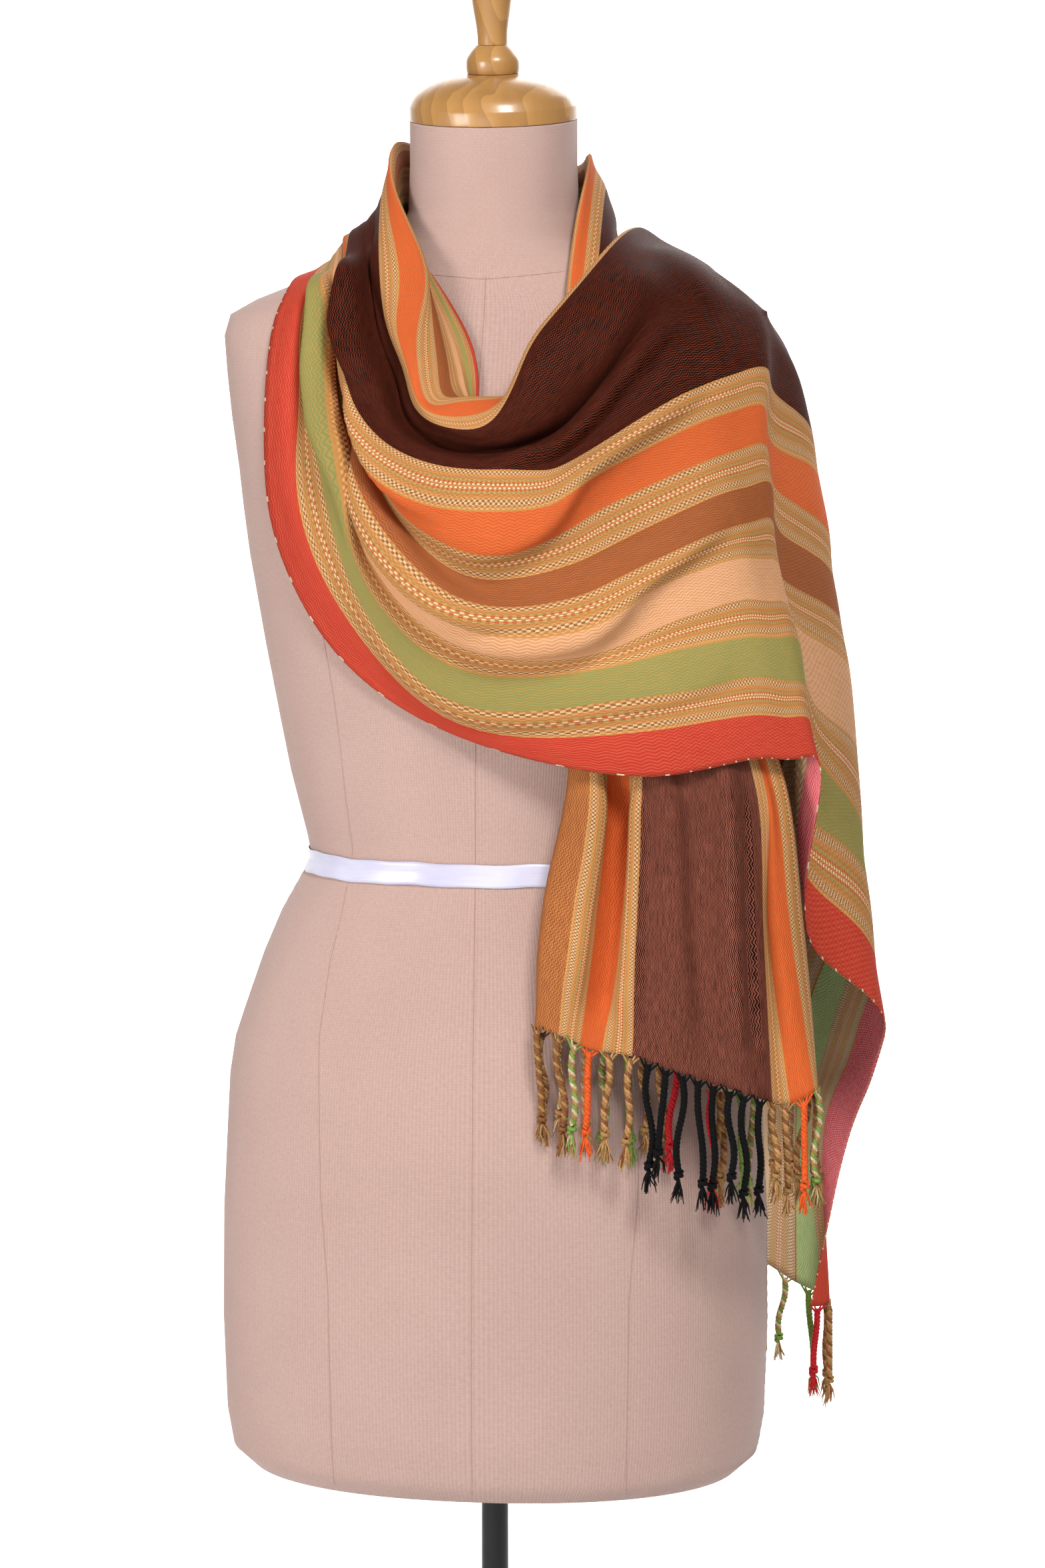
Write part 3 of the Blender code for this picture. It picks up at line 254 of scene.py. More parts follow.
# Fold lines of the loop behind the neck, from the collar's shoulder crest round the back and
# down under the swag: back left, back middle, back right, right crest, right front, three on the chest
LOOP_FOLDS = (
    ("lower edge", 0.0, (
        (-98, 94, 1188), (-4, 118, 1128), (96, 92, 1186), (132, 12, 1236), (122, -40, 1219),
        (122, -65, 1196), (122, -82, 1150), (140, -60, 997))),
    ("low fold", 80.0, (
        (-92, 92, 1204), (-4, 124, 1150), (91, 90, 1202), (124, 11, 1239), (114, -43, 1221),
        (114, -68, 1196), (113, -86, 1150), (127, -72, 997))),
    ("low dip", 150.0, (
        (-87, 84, 1216), (-4, 114, 1176), (86, 83, 1214), (112, 10, 1241), (106, -45, 1223),
        (105, -71, 1196), (104, -90, 1150), (115, -81, 997))),
    ("back fold", 264.0, (
        (-82, 82, 1232), (-4, 114, 1204), (79, 74, 1231), (95, 9, 1246), (96, -48, 1226), (94, -74, 1196),
        (92, -95, 1150), (98, -92, 997))),
    ("back dip", 340.0, (
        (-75, 72, 1250), (-4, 98, 1232), (73, 66, 1247), (84, 9, 1252), (88, -50, 1228), (86, -78, 1196),
        (83, -99, 1150), (84, -100, 997))),
    ("nape fold", 400.0, (
        (-68, 68, 1272), (-2, 92, 1258), (69, 68, 1264), (78, 8, 1276), (79, -54, 1231), (78, -81, 1196),
        (75, -102, 1150), (73, -105, 997))),
    ("collar edge", 436.0, (
        (-62, 62, 1292), (-2, 82, 1282), (63, 62, 1282), (73, 7, 1295), (73, -60, 1236), (71, -82, 1196),
        (69, -104, 1150), (65, -108, 997))),
    ("orange edge", 462.0, (
        (-57, 56, 1310), (-2, 74, 1302), (58, 56, 1297), (67, 7, 1307), (65, -64, 1239), (64, -83, 1196),
        (62, -105, 1150), (58, -109, 997))),
    ("crest", 489.0, (
        (-52, 51, 1324), (-2, 67, 1318), (53, 51, 1311), (62, 5, 1317), (57, -66, 1240), (56, -83, 1196),
        (54, -106, 1150), (50, -110, 997))),
    ("inner turn", 515.0, (
        (-47, 46, 1316), (-2, 63, 1310), (48, 46, 1302), (59, 2, 1304), (54, -60, 1239), (53, -80, 1196),
        (52, -102, 1150), (48, -106, 997))),
    ("inner fold", 560.0, (
        (-46, 45, 1296), (-2, 62, 1292), (47, 45, 1288), (60, 0, 1286), (58, -57, 1238), (58, -78, 1196),
        (57, -98, 1150), (55, -104, 997))),
    ("inner low", 634.0, (
        (-47, 47, 1276), (-2, 63, 1274), (48, 47, 1270), (62, -2, 1271), (63, -55, 1237), (64, -77, 1196),
        (65, -96, 1150), (65, -101, 997))),
    ("inner edge", 700.0, (
        (-51, 53, 1264), (-2, 67, 1260), (52, 53, 1260), (66, -4, 1261), (68, -54, 1236), (70, -77, 1196),
        (73, -94, 1150), (76, -98, 997))),
)

# Fold lines of the front tail: its top behind the swag, the swag's lower edge, hip and hem
TAIL_FOLDS = (
    ("outer edge", 0.0, (
        (120, -101, 996.3), (140, -92, 913), (145, -96, 820), (150, -100, 712))),
    ("behind right", 60.0, (
        (130, -89, 996.3), (150, -74, 913), (157, -76, 820), (165, -80, 708))),
    ("behind right middle", 110.0, (
        (144, -83, 996.3), (172, -66, 913), (180, -66, 820), (190, -68, 708))),
    ("behind right fold", 150.0, (
        (158, -83, 996.3), (192, -74, 913), (204, -74, 820), (214, -76, 712))),
    ("right fold", 195.0, (
        (165, -92, 996.3), (198, -92, 913), (210, -96, 816), (220, -98, 715))),
    ("orange edge", 211.0, (
        (156, -99, 996.3), (189, -98, 913), (202, -108, 818), (219, -108, 714))),
    ("orange top", 238.0, (
        (150, -100, 996.3), (184, -101, 913), (188, -104, 817), (202, -110, 707))),
    ("right dip", 264.0, (
        (146, -104, 996.3), (179, -105, 913), (185, -108, 818), (191, -114, 709))),
    ("dark ridge", 300.0, (
        (134, -113, 996.3), (165, -114, 915), (170, -124, 820), (175, -130, 717))),
    ("dark middle", 350.0, (
        (118, -116, 996.3), (142, -113, 915), (145, -122, 819), (150, -130, 725))),
    ("dark left", 400.0, (
        (103, -120, 996.3), (123, -117, 915), (124, -127, 820), (124, -135, 734))),
    ("dark edge", 436.0, (
        (93, -120, 996.3), (109, -114, 914), (107, -124, 819), (104, -134, 741))),
    ("orange side", 462.0, (
        (85, -118, 996.3), (100, -108, 913), (95, -120, 818), (84, -131, 743))),
    ("orange valley", 475.0, (
        (79, -114, 996.3), (92, -99, 912), (85, -115, 817), (76, -129, 743))),
    ("orange end", 489.0, (
        (72, -117, 996.3), (83, -107, 913), (77, -119, 826), (68, -131, 748))),
    ("brown ridge", 515.0, (
        (65, -121, 996.3), (77, -114, 914), (67, -124, 827), (58, -133, 753))),
    ("left fold", 534.0, (
        (52, -117, 996.3), (58, -108, 913), (46, -114, 842), (37, -124, 758))),
    ("behind left fold", 560.0, (
        (58, -110, 996.3), (66, -97, 913), (54, -103, 842), (48, -116, 752))),
    ("behind left", 620.0, (
        (75, -106, 996.3), (92, -88, 913), (90, -96, 830), (90, -108, 742))),
    ("inner edge", 700.0, (
        (97, -104, 996.3), (124, -82, 913), (126, -90, 826), (132, -100, 734))),
)

# Fold lines of the back fall, which starts at the swag's side: upper back, low back, hem
FALL_FOLDS = (
    ("outer edge", 0.0, (
        (256, 58, 694), (234, 88, 626), (214, 84, 522))),
    ("red band", 26.0, (
        (241, 78, 709), (222, 98, 643), (226, 96, 521))),
    ("green edge", 53.0, (
        (225, 95, 715), (211, 108, 650), (222, 113, 523))),
    ("green top", 79.0, (
        (211, 105, 736), (202, 112, 663), (202, 121, 530))),
    ("peach edge", 106.0, (
        (198, 112, 782), (187, 118, 676), (179, 118, 545))),
    ("peach top", 132.0, (
        (196, 106, 850), (180, 106, 700), (168, 106, 553))),
    ("brown edge", 158.0, (
        (190, 113, 900), (170, 121, 715), (160, 120, 560))),
    ("brown top", 190.0, (
        (184, 110, 940), (160, 108, 730), (148, 108, 567))),
    ("orange top", 228.0, (
        (170, 117, 972), (146, 125, 744), (136, 128, 574))),
    ("dark edge", 264.0, (
        (158, 110, 994), (130, 111, 755), (120, 117, 580))),
    ("dark ridge", 310.0, (
        (144, 121, 1012), (114, 128, 763), (104, 138, 586))),
    ("dark dip", 350.0, (
        (130, 112, 1026), (99, 114, 771), (87, 124, 592))),
    ("dark second ridge", 390.0, (
        (116, 124, 1036), (84, 131, 777), (70, 144, 598))),
    ("collar edge", 436.0, (
        (100, 114, 1044), (66, 117, 783), (52, 130, 604))),
    ("orange ridge", 480.0, (
        (85, 126, 1048), (48, 134, 788), (33, 149, 611))),
    ("brown dip", 528.0, (
        (68, 117, 1050), (28, 120, 793), (12, 134, 618))),
    ("peach ridge", 582.0, (
        (50, 127, 1053), (8, 137, 797), (-12, 150, 627))),
    ("green dip", 640.0, (
        (30, 118, 1056), (-15, 122, 801), (-38, 138, 635))),
    ("inner edge", 700.0, (
        (10, 121, 1060), (-38, 126, 807), (-64, 140, 643))),
)

# Cloth in the render
CLOTH_THICKNESS = 0.9
ACROSS_FRONT = 350.0
ACROSS_STEP = 3.6
ACROSS_COARSE = 6.8
FRONT_STEP = 4.4
LOOP_STEP = 6.0
BACK_STEP = 8.4
RELAX_ROUNDS = 8
EASE_ALONG = 0.25
EASE_ACROSS = 0.06
CLEARING_ROUNDS = 8
# How far the swag's and the cowl's tables are eased into each other at the deep fold
DEEP_FOLD = 340.0
DEEP_FOLD_EASE = 30.0
# Place along the cloth where the deep fold opens out
TUCK_END = 940.0
TUCK_RUN = 50.0
TUCK_ROUNDS = 12
# Distance off the far shoulder, where nothing lies under the wrap: how far out and up it starts and ends
SHOULDER_OFF = 5.0
SHOULDER_OUT = (132.0, 162.0)
SHOULDER_UP = (1090.0, 1150.0)
# After the last easing: most distance off the form that is kept, and how far below its layer cloth may lie
LAST_CLEARANCE = 3.2
LAST_SINK = 0.8
STRIPE = 26.4
DARK_HALF = 86.0
HALF_WIDTH = SHAWL_WIDTH / 2.0
# Weave in metres: thread pitch of the twill, pitch of the dashes, rows of dashes across a band
TWILL_PITCH = 0.0019
DASH_PITCH = 0.0027
DASH_ROWS = 16.67
# Cream stitches of the whipped edge: pitch in metres, share of it that is thread, width in millimetres
STITCH_PITCH = 0.0131
STITCH_SHARE = 0.13
STITCH_WIDTH = 0.9
# Colour under the bands of mixed yarns, and of the stitches
BAND_GROUND = "B07E46"
STITCH_CREAM = "E8CDB4"

# Share of a roll's half width on its steep side and on its gentle one, length of its soft ends
STEEP_SHARE = 0.5
GENTLE_SHARE = 1.5
ROLL_FADE = 45.0
HEM_REACH = 10.0
# Rolls and valleys of the cloth: name, half width (less than 0 if the inner side is the steep
# one), height, then places along and across
WRAP_ROLLS = (
    ("green roll", 16.0, 14.0, ((708, 66), (767, 66), (804, 64), (836, 66), (862, 80), (894, 82))),
    ("dark roll", 16.0, 14.0, ((698, 284), (751, 282), (798, 278), (841, 264))),
    ("left pleat", 18.0, -4.0, ((703, 170), (751, 165), (798, 150), (830, 155), (862, 170))),
    ("lip over the brown", 15.0, 13.0, ((798, 266), (829, 257), (851, 247), (883, 234), (926, 228))),
    ("peach roll", 18.0, 12.0, ((836, 150), (883, 140), (920, 138), (979, 142))),
    ("shoulder roll", 12.0, 8.0, ((1106, 392), (1053, 375), (1000, 358))),
    ("first slant", 14.0, 11.0, ((1085, 318), (1032, 304), (999, 292), (971, 283), (931, 258))),
    ("second slant", 14.0, 13.0, ((1079, 262), (999, 241), (965, 220), (915, 200))),
    ("third slant", 14.0, 12.0, ((1074, 166), (1010, 140), (971, 123), (937, 118), (904, 112))),
    ("low sweep", 12.0, 3.5, ((1058, 62), (1000, 50), (936, 40), (883, 40))),
    ("collar roll", 12.0, 4.0, ((703, 420), (760, 395), (797, 372), (841, 360))),
)
TAIL_ROLLS = (
    ("left fold roll", 9.0, 3.0, ((68, 528), (275, 532))),
    ("left of the valley", 14.0, 7.0, ((68, 500), (275, 505))),
    ("valley", 10.0, -11.0, ((68, 468), (275, 465))),
    ("right of the valley", -14.0, 10.0, ((68, 440), (275, 438))),
    ("middle swell", 24.0, 5.0, ((68, 392), (275, 368))),
    ("dark edge roll", 14.0, 8.0, ((68, 308), (275, 306))),
    ("dark valley", 6.0, -6.0, ((68, 283), (275, 284))),
    ("orange swell", 12.0, 4.0, ((68, 226), (275, 222))),
)

# Soft creases: how many waves, their lengths across and along the cloth, their heights
CREASE_WAVES = 14
CREASE_ACROSS = (38.0, 120.0)
CREASE_ALONG = (180.0, 520.0)
CREASE_SPREAD = 3.0
WRAP_CREASE = 0.9
TAIL_CREASE = 0.7
# Starts of the random draws
WRAP_SEED = 5
TAIL_SEED = 11
BACK_TASSEL_SEED = 3
FRONT_TASSEL_SEED = 4

# Tassels: rope length, how much longer the black ones are, sway at the end, bend on the way, twist
TASSELS_PER_END = 36
ROPE_LENGTH = (42.0, 59.0)
BLACK_EXTRA = 8.0
ROPE_SWAY = 4.5
ROPE_BEND = 2.4
ROPE_POINTS = 46
TWIST_LENGTH = 8.5
WIND_RADIUS = 1.15
YARN_RADIUS = 1.35
# Roots gathered from the hem: how far to each side, and how far up in the cloth
ROOT_REACH = (-6.5, -3.0, 3.0, 6.5)
ROOT_DEPTH = 1.2
ROPE_DROP = 2.0
# Knot at the rope's end: radius of the wrap, yarn radius, turn in radians, drop for each radian
KNOT_RADIUS = 2.1
KNOT_YARN = 1.5
KNOT_TURN = 3.4 * math.pi
KNOT_DROP = 0.42
# Brush below the knot: its foot, hairs, spread and length
BRUSH_DROP = 4.6
BRUSH_HAIRS = 15
BRUSH_SPREAD = (1.0, 6.2)
BRUSH_LENGTH = (10.0, 17.0)
BRUSH_CURL = 1.6
BRUSH_CLEARANCE = 3.0
# front fringe: first tassel, count, distance off the form
FRONT_GROUPS = ((0, 10, 7.0), (10, 17, 18.0), (27, 9, 7.0))
BACK_GROUPS = ((0, 36, 8.0),)

# Seams of the form's cover: x, then heights from the top down
CENTRE_SEAM = ((1.0, 1236.0), (0.0, 1063.0), (-3.0, 858.0), (-2.0, 685.0), (-3.0, 440.0))
PRINCESS_SEAM = ((108.0, 1120.0), (103.0, 1007.0), (97.0, 971.0), (93.0, 934.0), (90.0, 896.0), (86.0, 863.0),
                 (93.0, 820.0), (100.0, 790.0), (106.0, 742.0), (104.0, 640.0), (99.0, 575.0), (98.0, 492.0),
                 (97.0, 440.0))
# Upright seams: name, angle from the left side in degrees, lowest and highest point
PLAIN_SEAMS = (("back seam", 90.0, 440.0, 1280.0), ("left seam", 0.0, 440.0, 1200.0),
               ("right seam", 180.0, 440.0, 1200.0))
# How proud a seam stands, its radius, and its stitches' radius and height over it
SEAM_PROUD = 0.05
WELT_RADIUS = 0.26
STITCH_RADIUS = 0.3
STITCH_PROUD = 0.12
# Girths that the jersey's ribs and the ribbon are laid out on
HIP_GIRTH = 1050.0
WAIST_GIRTH = 680.0
RIBBON_THICKNESS = 0.4
# Rings that close the body below and above: share of the edge's radius, place on the flat jersey
UNDER_SHARES = (0.0, 0.4, 0.8, 0.95)
UNDER_RISE = (-150.0, -90.0, -30.0, -8.0)
TOP_SHARES = (0.95, 0.5, 0.0)
TOP_RISE = (3.0, 28.0, 55.0)
# Seam round the neck's base: angle from the left side in degrees, height
NECK_SEAM = ((0.0, 1266.0), (-30.0, 1254.0), (-60.0, 1240.0), (-90.0, 1234.0), (-120.0, 1240.0),
             (-150.0, 1254.0), (-180.0, 1266.0), (-210.0, 1274.0), (-240.0, 1280.0), (-270.0, 1282.0),
             (-300.0, 1280.0), (-330.0, 1274.0), (-360.0, 1266.0))


class Yarn(Enum):
    """Yarn colours of the warp, as sRGB hex."""

    BLACK = "0C0A0B"
    BROWN = "8A5A36"
    ORANGE = "E5602A"
    RED = "C8242C"
    GREEN = "7E9C4A"
    TAN = "AC8450"
    CREAM = "D0BC96"
    PEACH = "C4905F"


# Tassel strands by stripe, counted from the cloth's middle outward
STRIPE_YARNS = {
    "dark": (Yarn.BLACK, Yarn.BLACK, Yarn.BLACK),
    "mixed": (Yarn.TAN, Yarn.PEACH, Yarn.BROWN),
    "mixed green": (Yarn.GREEN, Yarn.TAN, Yarn.CREAM),
    "orange": (Yarn.ORANGE, Yarn.ORANGE, Yarn.ORANGE),
    "brown": (Yarn.BROWN, Yarn.BROWN, Yarn.TAN),
    "peach": (Yarn.PEACH, Yarn.CREAM, Yarn.PEACH),
    "green": (Yarn.GREEN, Yarn.GREEN, Yarn.GREEN),
    "red": (Yarn.RED, Yarn.RED, Yarn.RED),
}
STRIPE_ORDER = ("mixed", "orange", "mixed green", "brown", "mixed", "peach", "mixed green", "green", "mixed",
                "red")


def linear(code: str) -> tuple[float, float, float, float]:
    """Turn an sRGB hex colour to a linear one.

    Args:
        code: Six hex digits.

    Returns:
        Red, green, blue and alpha.
    """
    parts = [int(code[start:start + 2], 16) / 255.0 for start in (0, 2, 4)]
    red, green, blue = (part / 12.92 if part <= 0.04045 else ((part + 0.055) / 1.055) ** 2.4
                        for part in parts)
    return (red, green, blue, 1.0)


def add_node(tree: NodeTree, kind: str, links: dict, output: int = 0,
             **settings) -> Socket:
    """Add a node, set it and link it.

    Args:
        tree: The material's node tree.
        kind: The node's type without its prefix.
        links: Input name or number to a value or another node's output.
        output: Which output is wanted.
        settings: The node's own properties.

    Returns:
        The wanted output socket.
    """
    node = tree.nodes.new("ShaderNode" + kind)
    for name, value in settings.items():
        setattr(node, name, value)
    for name, value in links.items():
        if isinstance(value, Socket):
            tree.links.new(value, node.inputs[name])
        else:
            node.inputs[name].default_value = value
    return node.outputs[output]


def new_finish(name: str, sockets: dict) -> tuple[bpy.types.Material, NodeTree, bpy.types.Node]:
    """Start a material.

    Args:
        name: Its name.
        sockets: Values set on the shader's own sockets.

    Returns:
        The material, its tree and its shader node.
    """
    material = bpy.data.materials.new(name)
    material.use_nodes = True
    tree = material.node_tree
    shader = tree.nodes["Principled BSDF"]
    for socket, value in sockets.items():
        shader.inputs[socket].default_value = value
    return material, tree, shader


def reckon(tree: NodeTree, operation: str, *values) -> Socket:
    """Add a calculation on up to three values."""
    return add_node(tree, "Math", dict(enumerate(values)), operation=operation)


def blend(tree: NodeTree, share, first, second, **settings) -> Socket:
    """Mix two colours, by how much of the second is wanted."""
    return add_node(tree, "Mix", {0: share, 6: first, 7: second}, output=2, data_type="RGBA", **settings)


def join_finish(tree: NodeTree, shader: bpy.types.Node, colour: Socket,
                gloss: Socket, bump: Socket) -> None:
    """Link a finish's colour, roughness and bump to its shader."""
    for socket, source in (("Base Color", colour), ("Roughness", gloss), ("Normal", bump)):
        tree.links.new(source, shader.inputs[socket])


def fill_ramp(ramp: bpy.types.ColorRamp, stops: list[tuple[float, str]]) -> None:
    """Set a ramp's hard stops from places and hex colours."""
    ramp.interpolation = "CONSTANT"
    while len(ramp.elements) < len(stops):
        ramp.elements.new(1.0)
    for element, (place, code) in zip(ramp.elements, stops):
        element.position = place
        element.color = linear(code)


@dataclass(frozen=True)
class StripedTwill:
    """Hand-loomed cotton and viscose twill, striped along its length.

    The eye gets slanting copper strokes on dark ground, bands of dashed yarns between plain
    stripes, and a soft sheen where a fold turns to the light.
    """

    name: str
    # hex colours from the cloth's middle outward: dark, orange, brown, peach, green, red
    warp: tuple[str, ...]
    weft: tuple[str, ...]
    # how far the warp covers the weft
    cover: float = 1.4
    # hex colours across a band of mixed yarns: share of the band, yarn, yarn between its dashes
    band: tuple[tuple[float, str, str], ...] = (
        (0.0, "C08A54", "A06E3E"), (0.06, "D0AC7E", "86583A"), (0.12, "C8A476", "8C5E3A"),
        (0.18, "C08850", "AE7440"), (0.25, "B27A46", "A87242"), (0.31, "A88C54", "9C7A44"),
        (0.37, "B0522C", "B87C48"), (0.42, "DEC69C", "9A6C44"), (0.46, "B4562E", "BE8650"),
        (0.5, "DEC69C", "9A6C44"), (0.54, "B0522C", "B87C48"), (0.59, "A88C54", "9C7A44"),
        (0.65, "B27A46", "A87242"), (0.71, "C08850", "AE7440"), (0.77, "C8A476", "8C5E3A"),
        (0.84, "D0AC7E", "86583A"), (0.91, "C08A54", "A06E3E"), (0.96, "C89660", "B07E48"),
    )

    def stops(self, colours: tuple[str, ...]) -> list[tuple[float, str]]:
        """Ramp stops over the distance from the cloth's middle."""
        rows = [(0.0, colours[0])]
        for count in range(len(STRIPE_ORDER)):
            place = (DARK_HALF + STRIPE * count) / HALF_WIDTH
            code = BAND_GROUND if count % 2 == 0 else colours[1 + count // 2]
            rows.append((place, code))
        return rows

    def strokes(self, tree: NodeTree, place: Socket, along: Socket,
                across: Socket) -> Socket:
        """Twill: strokes slant one way, then the other, a thread pitch apart."""
        zig = reckon(tree, "DIVIDE", along, TWILL_PITCH * 1.3)
        zig = reckon(tree, "PINGPONG", zig, 1.0)
        rows = reckon(tree, "DIVIDE", across, TWILL_PITCH)
        phase = reckon(tree, "MULTIPLY_ADD", zig, 0.8, rows)
        phase = reckon(tree, "MULTIPLY", phase, 2.0 * math.pi)
        wave = reckon(tree, "SINE", phase)
        drawn = add_node(tree, "Mapping", {0: place, "Scale": (90.0, 700.0, 1.0)})
        slub = add_node(tree, "TexNoise", {"Vector": drawn, "Scale": 1.0, "Detail": 3.0, "Roughness": 0.6})
        mixed = reckon(tree, "MULTIPLY_ADD", slub, 3.4, wave)
        return add_node(tree, "MapRange", {"Value": mixed, "From Min": self.cover, "From Max": 2.4})

    def mixed_bands(self, tree: NodeTree, off: Socket, along: Socket,
                    stroke: Socket) -> tuple[Socket, Socket, Socket]:
        """Bands of mixed yarns between the plain stripes: where they are, their colour and their dashes."""
        count = reckon(tree, "SUBTRACT", off, DARK_HALF * MM)
        count = reckon(tree, "DIVIDE", count, STRIPE * MM)
        part = reckon(tree, "MODULO", count, 2.0)
        inside = reckon(tree, "LESS_THAN", part, 1.0)
        beyond = reckon(tree, "GREATER_THAN", count, 0.0)
        banded = reckon(tree, "MULTIPLY", inside, beyond)
        first = add_node(tree, "ValToRGB", {0: part})
        fill_ramp(first.node.color_ramp, [(start, yarn) for start, yarn, _ in self.band])
        second = add_node(tree, "ValToRGB", {0: part})
        fill_ramp(second.node.color_ramp, [(start, gap) for start, _, gap in self.band])
        row = reckon(tree, "MULTIPLY", part, DASH_ROWS)
        row = reckon(tree, "FLOOR", row)
        row = reckon(tree, "MULTIPLY", row, 0.5)
        dash = reckon(tree, "DIVIDE", along, DASH_PITCH)
        dash = reckon(tree, "ADD", dash, row)
        dash = reckon(tree, "FRACT", dash)
        dash = add_node(tree, "MapRange", {"Value": dash, "From Min": 0.42, "From Max": 0.58})
        band = blend(tree, dash, first, second)
        shade = add_node(tree, "MapRange", {"Value": stroke, "To Min": 1.08, "To Max": 0.86})
        return banded, blend(tree, 1.0, band, shade, blend_type="MULTIPLY"), dash

    @staticmethod
    def whipped(tree: NodeTree, cloth: Socket, off: Socket, along: Socket) -> Socket:
        """Whipped edge: short cream stitches."""
        rim = reckon(tree, "GREATER_THAN", off, (HALF_WIDTH - STITCH_WIDTH) * MM)
        stitch = reckon(tree, "DIVIDE", along, STITCH_PITCH)
        stitch = reckon(tree, "FRACT", stitch)
        stitch = reckon(tree, "LESS_THAN", stitch, STITCH_SHARE)
        rim = reckon(tree, "MULTIPLY", rim, stitch)
        return blend(tree, rim, cloth, linear(STITCH_CREAM))

    def build(self) -> bpy.types.Material:
        """Make the material."""
        material, tree, shader = new_finish(self.name, {"Sheen Weight": 0.01, "Sheen Roughness": 0.45,
                                                        "Sheen Tint": (1.0, 0.75, 0.6, 1.0),
                                                        "Specular IOR Level": 0.06})
        place = add_node(tree, "UVMap", {}, uv_map="cloth")
        split = add_node(tree, "SeparateXYZ", {0: place}).node
        along, across = split.outputs[0], split.outputs[1]
        drift = add_node(tree, "TexNoise", {"Vector": place, "Scale": 16.0, "Detail": 2.0})
        drift = add_node(tree, "MapRange", {"Value": drift, "To Min": -0.0011, "To Max": 0.0011})
        moved = reckon(tree, "ADD", across, drift)
        off = reckon(tree, "SUBTRACT", moved, HALF_WIDTH * MM)
        off = reckon(tree, "ABSOLUTE", off)
        share = reckon(tree, "DIVIDE", off, HALF_WIDTH * MM)

        stroke = self.strokes(tree, place, along, across)
        warp = add_node(tree, "ValToRGB", {0: share})
        fill_ramp(warp.node.color_ramp, self.stops(self.warp))
        weft = add_node(tree, "ValToRGB", {0: share})
        fill_ramp(weft.node.color_ramp, self.stops(self.weft))
        plain = blend(tree, stroke, warp, weft)
        banded, band, dash = self.mixed_bands(tree, off, along, stroke)
        cloth = blend(tree, banded, plain, band)
        cloth = self.whipped(tree, cloth, off, along)

        # Uneven dye and wear
        tone = add_node(tree, "TexNoise", {"Vector": place, "Scale": 7.0, "Detail": 3.0})
        tone = add_node(tree, "MapRange", {"Value": tone, "From Min": 0.3, "From Max": 0.7,
                                           "To Min": 0.9, "To Max": 1.08})
        cloth = blend(tree, 1.0, cloth, tone, blend_type="MULTIPLY")
        gloss = add_node(tree, "MapRange", {"Value": stroke, "To Min": 0.62, "To Max": 0.82})
        height = reckon(tree, "MULTIPLY", dash, banded)
        height = reckon(tree, "ADD", height, stroke)
        bump = add_node(tree, "Bump", {"Strength": 0.35, "Distance": 0.0005, "Height": height}, invert=True)
        join_finish(tree, shader, cloth, gloss, bump)
        return material


@dataclass(frozen=True)
class TwistedCotton:
    """Cotton yarn in its warp colour, plied by hand. Fine fibres give it a matt, streaked look."""

    yarn: Yarn

    def build(self) -> bpy.types.Material:
        """Make the material."""
        name = "twisted_cotton_" + self.yarn.name.lower()
        material, tree, shader = new_finish(name, {"Sheen Weight": 0.02, "Sheen Roughness": 0.5,
                                                   "Specular IOR Level": 0.12})
        place = add_node(tree, "TexCoord", {}, output=3)
        drawn = add_node(tree, "Mapping", {0: place, "Scale": (1.0, 1.0, 0.35)})
        fibre = add_node(tree, "TexNoise", {"Vector": drawn, "Scale": 1400.0, "Detail": 3.0})
        light = linear(self.yarn.value)
        dark = tuple(part * 0.45 for part in light[:3]) + (1.0,)
        spread = add_node(tree, "MapRange", {"Value": fibre, "From Min": 0.3, "From Max": 0.62})
        colour = blend(tree, spread, dark, light)
        gloss = add_node(tree, "MapRange", {"Value": fibre, "To Min": 0.7, "To Max": 0.92})
        bump = add_node(tree, "Bump", {"Strength": 0.5, "Distance": 0.0004, "Height": fibre})
        join_finish(tree, shader, colour, gloss, bump)
        return material


@dataclass(frozen=True)
class RibbedJersey:
    """Cotton jersey stretched over padding. The eye gets fine upright ribs and a dusty, matt pink-beige."""

    name: str
    colour: str = "BC9F96"
    shadow: str = "A2857C"
    rib: float = 0.0022

    def build(self) -> bpy.types.Material:
        """Make the material."""
        material, tree, shader = new_finish(self.name, {"Sheen Weight": 0.15, "Sheen Roughness": 0.6,
                                                        "Specular IOR Level": 0.2})
        place = add_node(tree, "UVMap", {}, uv_map="cloth")
        split = add_node(tree, "SeparateXYZ", {0: place}).node
        wales = reckon(tree, "MULTIPLY", split.outputs[0], 2.0 * math.pi / self.rib)
        wales = reckon(tree, "SINE", wales)
        courses = reckon(tree, "MULTIPLY", split.outputs[1], 2.0 * math.pi / (self.rib * 0.8))
        courses = reckon(tree, "SINE", courses)
        knit = reckon(tree, "MULTIPLY_ADD", courses, 0.45, wales)
        cloud = add_node(tree, "TexNoise", {"Vector": place, "Scale": 9.0, "Detail": 4.0, "Roughness": 0.6})
        cloud = add_node(tree, "MapRange", {"Value": cloud, "To Min": 0.32, "To Max": 0.68})
        fuzz = add_node(tree, "TexNoise", {"Vector": place, "Scale": 420.0, "Detail": 2.0})
        depth = reckon(tree, "MULTIPLY_ADD", knit, 0.09, cloud)
        depth = reckon(tree, "MULTIPLY_ADD", fuzz, 0.5, depth)
        spread = add_node(tree, "MapRange", {"Value": depth, "From Min": 0.45, "From Max": 1.15})
        colour = blend(tree, spread, linear(self.shadow), linear(self.colour))
        gloss = add_node(tree, "MapRange", {"Value": fuzz, "To Min": 0.8, "To Max": 0.95})
        bump = add_node(tree, "Bump", {"Strength": 0.22, "Distance": 0.0003, "Height": knit})
        join_finish(tree, shader, colour, gloss, bump)
        return material


